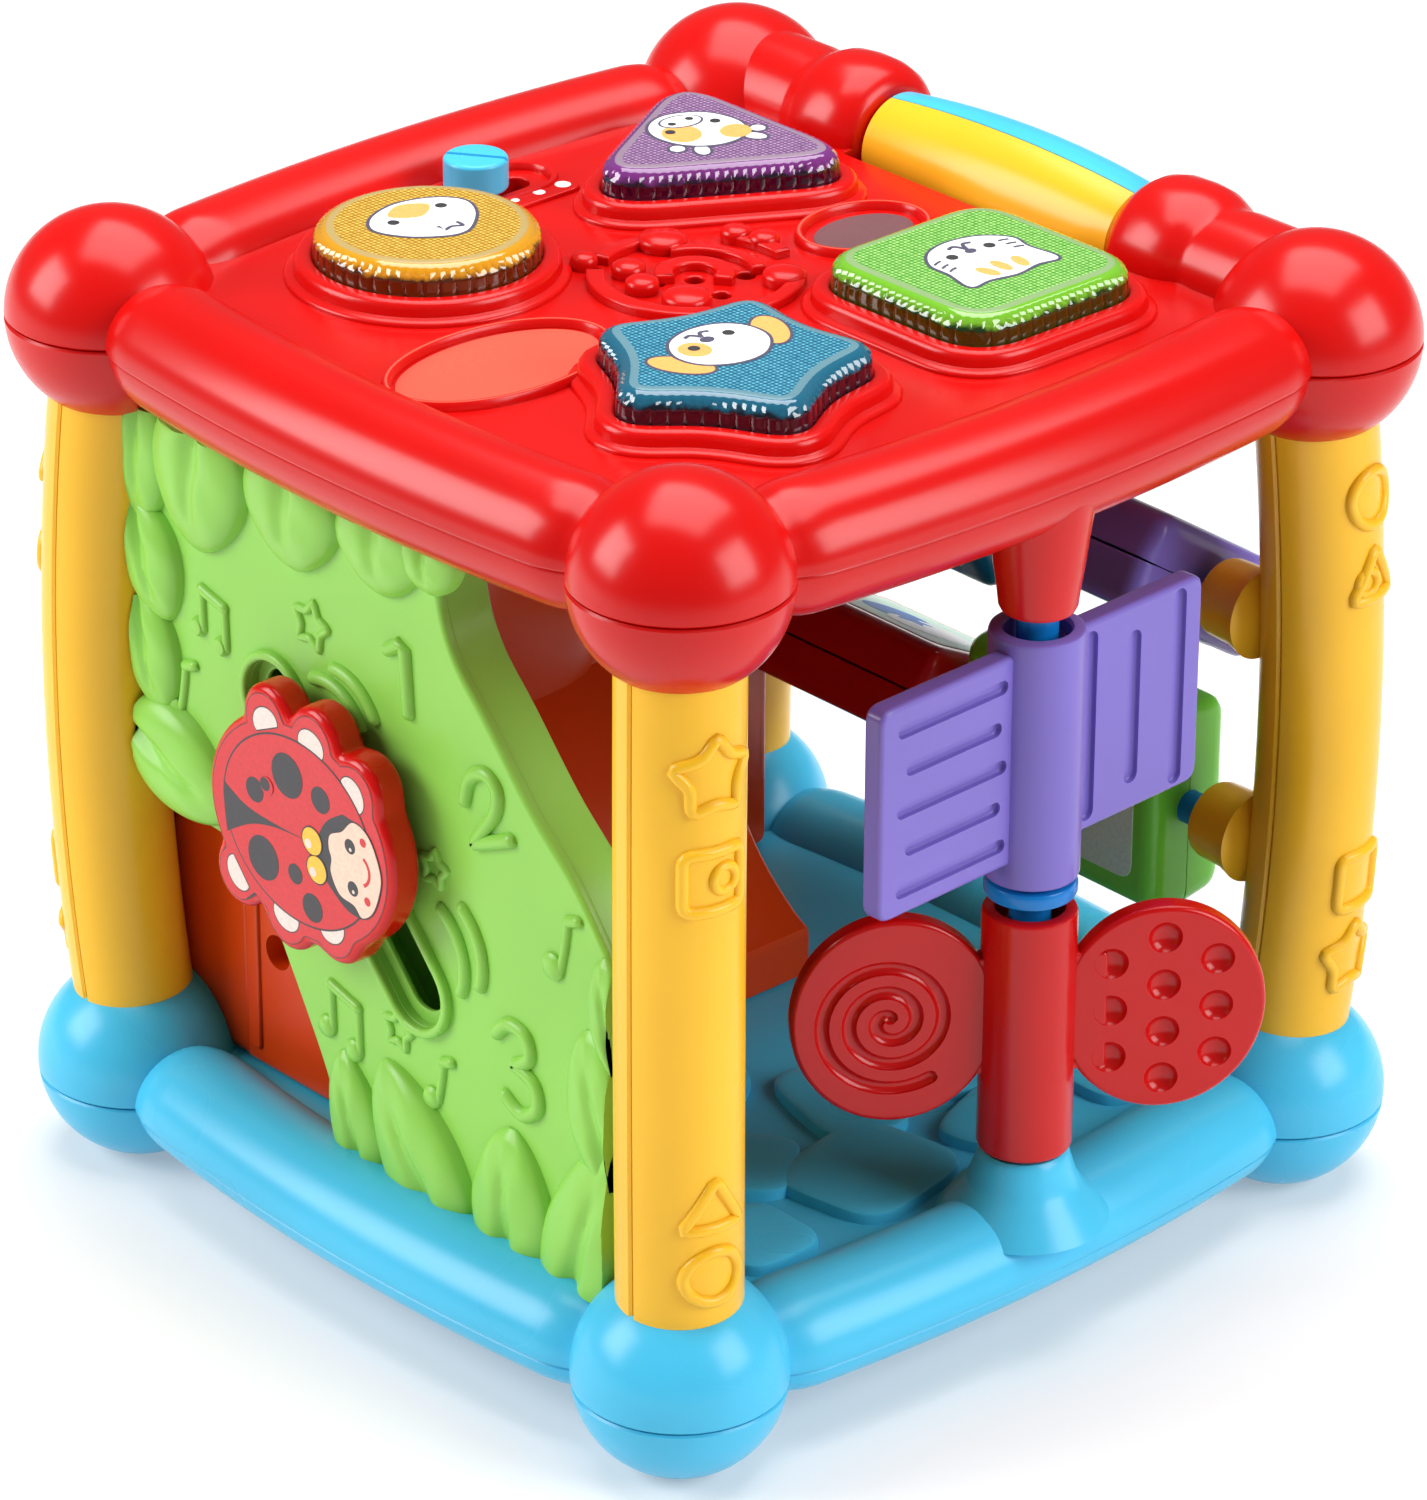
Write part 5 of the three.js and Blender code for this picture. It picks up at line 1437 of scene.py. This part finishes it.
def gear_housing():
    low, high = BASE_DECK + 0.4, TUB_FLOOR - 0.4
    outline = rectangle(-57.2, 56.0, low, high, 2.0)
    panel = rectangle(-46, 46, 30, 122, 8, 8)
    back = plate([outline], ORANGE_OUTER + 0.6, ORANGE_OUTER + 3.4, "x", 0.8)
    frame_ring = plate([outline, panel], ORANGE_OUTER, ORANGE_OUTER + 2.6, "x", 0.9, 4)
    sides = plate([outline, grown(resampled(outline, 3), -2.4)], ORANGE_OUTER + 1, ORANGE_INNER, "x", 0.8)
    inner = plate(
        [rectangle(-56.4, 55.2, low + 0.8, high - 0.8, 2.0)], ORANGE_INNER - 2.4, ORANGE_INNER, "x", 0.8
    )
    parts = [back, frame_ring, sides, inner]
    for y, z, radius, *_ in GEARS.values():
        hub = [
            (0, 0), (radius * 0.9, 0), (radius * 0.86, 1.4), (radius * 0.7, 2.4), (radius * 0.5, 2.9),
            (0, 3.0)
        ]
        parts.append(lathe([(r, ORANGE_INNER - 0.2 + h * 0.75) for r, h in hub], "x", (0, y, z), 64))
        parts.append(lathe([
            (0, ORANGE_OUTER + 2), (6.8, ORANGE_OUTER + 2), (6.8, ORANGE_OUTER - 0.2),
            (0, ORANGE_OUTER - 0.2)
        ], "x", (0, y, z), 40))
    for k in range(6):
        z = 34 + 15.5 * k
        parts.append(tube(curve_through([
            (ORANGE_INNER, -50, z), (ORANGE_INNER + 0.2, -20, z + 5), (ORANGE_INNER, 10, z - 2),
            (ORANGE_INNER, 50, z + 3)
        ], 8), 0.7, up=(1, 0, 0)))
    ramp_line = curve_through(
        [(-47.5, 66), (-40, 60), (-30, 49.8), (-20, 36.4), (-12.5, 29.6), (-8.4, 27.2)], 8
    )
    foot = ramp_line + [Vector((-8, 26)), Vector((-8, low)), Vector((-48, low))]
    well = rod(3.0, -60, -52, "y", -39, 41.5, 0.2)
    parts.append(carve(plate([foot], -57.3, 30.2, "y", 1.2, 4), well))
    recess = plate([rectangle(-46.5, -43.5, 22, 60, 1.0)], -57.9, -56.8, "y", 0.4)
    toe = plate([[
        Vector((-48, low)), Vector((-38.8, low)), Vector((-40.5, 26)), Vector((-44.5, 38)),
        Vector((-48, 48))
    ]], 29, 45.8, "y", 1.0)
    return group(*parts, recess, toe)


def gear_pin(y, z):
    cap = [
        (0, -76.0), (2.6, -76.0), (4.8, -75.8), (5.9, -75.3), (6.4, -74.7), (6.4, -74.1), (3.3, -74.0),
        (3.3, -62.6), (0, -62.6)
    ]
    return lathe(cap, "x", (0, y, z), 48)


# ---- everything placed ----
place("lid_upper", lid_upper(), RED, "frame", ["top_shell"])
place("deck_marks", deck_marks(), [INK_BADGE, INK_CORAL, INK_WHITE], "frame")
place("lid_lower", lid_lower(), RED, "frame", ["top_underside"])
place("base_upper", base_upper(), SKY, "frame", ["base_upper_shell"])
place("base_lower", base_lower(), SKY, "frame", ["base_lower_shell"])
for corner, (sx, sy) in CORNERS.items():
    outer = group(
        pillar_half(sx, sy, 1), *emblems(sx, sy, EMBLEM_ORDER[corner]),
        dimple(sx, sy, EMBLEM_ORDER[corner][1][1])
    )
    inner = group(pillar_half(sx, sy, -1), *(pillar_stubs(sx) if sy > 0 else []))
    place(f"{corner}_outer", outer, YELLOW, "frame", [f"{corner}_pillar_outer"])
    place(f"{corner}_inner", inner, YELLOW, "frame", [f"{corner}_pillar_inner"])
for kind in BUTTONS:
    make_button(kind)
place("knob", knob(), SKY, "volume_slider", ["volume_knob"])
place("roller_front", roller_half(True), YELLOW, "roller", ["roller_front_shell"])
place("roller_back", roller_half(False), SKY, "roller", ["roller_back_shell"])
place("panel", green_panel(), GREEN, "frame", ["green_panel"])
place("ladybug_body", ladybug(), BUG_RED, "ladybug_slider", ["ladybug"])
place(
    "ladybug_face", ladybug_print(), [INK_RED, INK_BLACK, INK_CREAM, INK_SKIN, INK_GOLD, INK_RED],
    "ladybug_slider"
)
place("purple_spinner", purple_twirler(), PURPLE, "purple_spinner", ["purple_twirler"])
place("red_spinner", red_twirler(), CRIMSON, "red_spinner", ["red_twirler"])
place("spinner_axle", twirl_axle(), AXLE_BLUE, "frame", ["twirler_axle"])
for level, z in TUMBLE_Z.items():
    place(
        f"{level}_axle", rod(2.8, -57.4, 57.4, "x", TUMBLE_Y, z), AXLE_BLUE, "frame",
        [f"{level}_tumbler_axle"]
    )
PICTURES = {
    "green": [(at(drop(7.5), 0, -1), 1), (at(drop(5.0), 0.8, -2), 2)],
    "red": [(oval(-4, 0, 6, 6), 1), (oval(5, 1, 7.5, 7.5), 2), (star(4, 2, 90, 0.4), 1)],
    "purple": [(at(star(9, 5, 90, 1.0), 0, 0), 1), (circle(3, 24), 2)],
    "teal": [(circle(8, 40), 1), (circle(5, 40), 2)],
}
for kind, (x, z, turn, material, slot_name) in TUMBLERS.items():
    for front in (True, False):
        word = "front" if front else "back"
        place(
            f"{kind}_block_{word}", tumbler_half(front, x, z, turn), material, f"{kind}_tumbler",
            [f"{kind}_tumbler_{word}"]
        )
        place(f"{kind}_label_{word}", tumbler_sticker(-1 if front else 1, x, z, turn, PICTURES[kind]),
              [INK_PALE, INK_BLUE, INK_WHITE], f"{kind}_tumbler")
place("orange_side", gear_housing(), ORANGE, "frame", ["gear_housing"])
phases = gear_phases()
for kind, (y, z, _, _, material, slot_name) in GEARS.items():
    place(f"{kind}_cog", gear(kind, phases[kind]), material, f"gear_{kind}", [f"{kind}_gear"])
    place(f"{kind}_hub", gear_pin(y, z), BUG_RED, "frame", [f"{kind}_gear_pin"])

INNER_MATERIALS = {
    "circuit_board": BOARD, "speaker": DARK, "roller_pin": STEEL, "ladybug_retainer": WHITE,
    "battery_door": SKY, "battery_door_screw": STEEL, "battery_1": BATTERY, "battery_2": BATTERY,
    "battery_contact_right": STEEL, "battery_contact_left": STEEL, **{f"{k}_switch": DARK for k in BUTTONS},
    **{f"{k}_led": LAMP for k in BUTTONS},
}
for node, material in INNER_MATERIALS.items():
    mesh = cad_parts[node].data
    mesh.materials.clear()
    mesh.materials.append(material)


# ---- floor, light and camera, in metres ----
LIGHTS = {  # where each stands, its size, and its watts
    "left": ((-0.75, -1.0, 0.75), 0.8, 17),
    "right": ((1.15, 0.45, 0.7), 0.8, 14),
    "top": ((-0.1, 0.2, 1.3), 1.2, 21),
}
LIGHTS_AIM = Vector((0, 0, 0.08))
CAMERA_AT = (0.719683, -0.656967, 0.562966)
CAMERA_TURN = (47.5751, 26.6973, 0.2106)  # azimuth, elevation and roll, in degrees
CAMERA_LENS, CAMERA_SENSOR = 165.365, 36.0  # in millimetres


def studio():
    floor = plate([rectangle(-3000, 3000, -3000, 3000)], -4.0, 0.0, "z", 0.01, 0)
    obj = bpy.data.objects.new("floor", mesh_of(floor))
    material, tree, shader = nodes_of("floor_paper")
    tone = ramp(
        tree, noise(tree, 3, 2).outputs["Fac"], [(0.3, (0.63, 0.63, 0.63)), (0.7, (0.65, 0.65, 0.65))]
    )
    feed(shader, "Base Color", tone)
    shader.inputs["Roughness"].default_value = 0.7
    shader.inputs["Emission Color"].default_value = (1, 1, 1, 1)
    shader.inputs["Emission Strength"].default_value = 0.27
    obj.data.materials.append(material)
    bpy.context.scene.collection.objects.link(obj)
    for name, (spot, size, power) in LIGHTS.items():
        light = bpy.data.lights.new(name, "AREA")
        light.size, light.energy = size, power
        lamp = bpy.data.objects.new(name, light)
        lamp.location = spot
        lamp.rotation_euler = (LIGHTS_AIM - Vector(spot)).to_track_quat("-Z", "Y").to_euler()
        bpy.context.scene.collection.objects.link(lamp)
    world = bpy.data.worlds.new("studio")
    world.use_nodes = True
    background = world.node_tree.nodes["Background"]
    background.inputs["Color"].default_value = (1, 1, 1, 1)
    background.inputs["Strength"].default_value = 0.16
    bpy.context.scene.world = world
    bpy.context.scene.view_settings.view_transform = "Standard"


def camera():
    data = bpy.data.cameras.new("camera")
    data.lens, data.sensor_width, data.sensor_fit = CAMERA_LENS, CAMERA_SENSOR, "AUTO"
    data.clip_start, data.clip_end = 0.05, 20.0
    obj = bpy.data.objects.new("camera", data)
    azimuth, elevation, roll = (math.radians(turn) for turn in CAMERA_TURN)
    back = Vector((
        math.sin(azimuth) * math.cos(elevation), -math.cos(azimuth) * math.cos(elevation),
        math.sin(elevation)
    ))
    spin = back.to_track_quat("Z", "Y").to_matrix().to_4x4() @ Matrix.Rotation(roll, 4, "Z")
    obj.matrix_world = Matrix.Translation(CAMERA_AT) @ spin
    bpy.context.scene.collection.objects.link(obj)
    bpy.context.scene.camera = obj


studio()
camera()
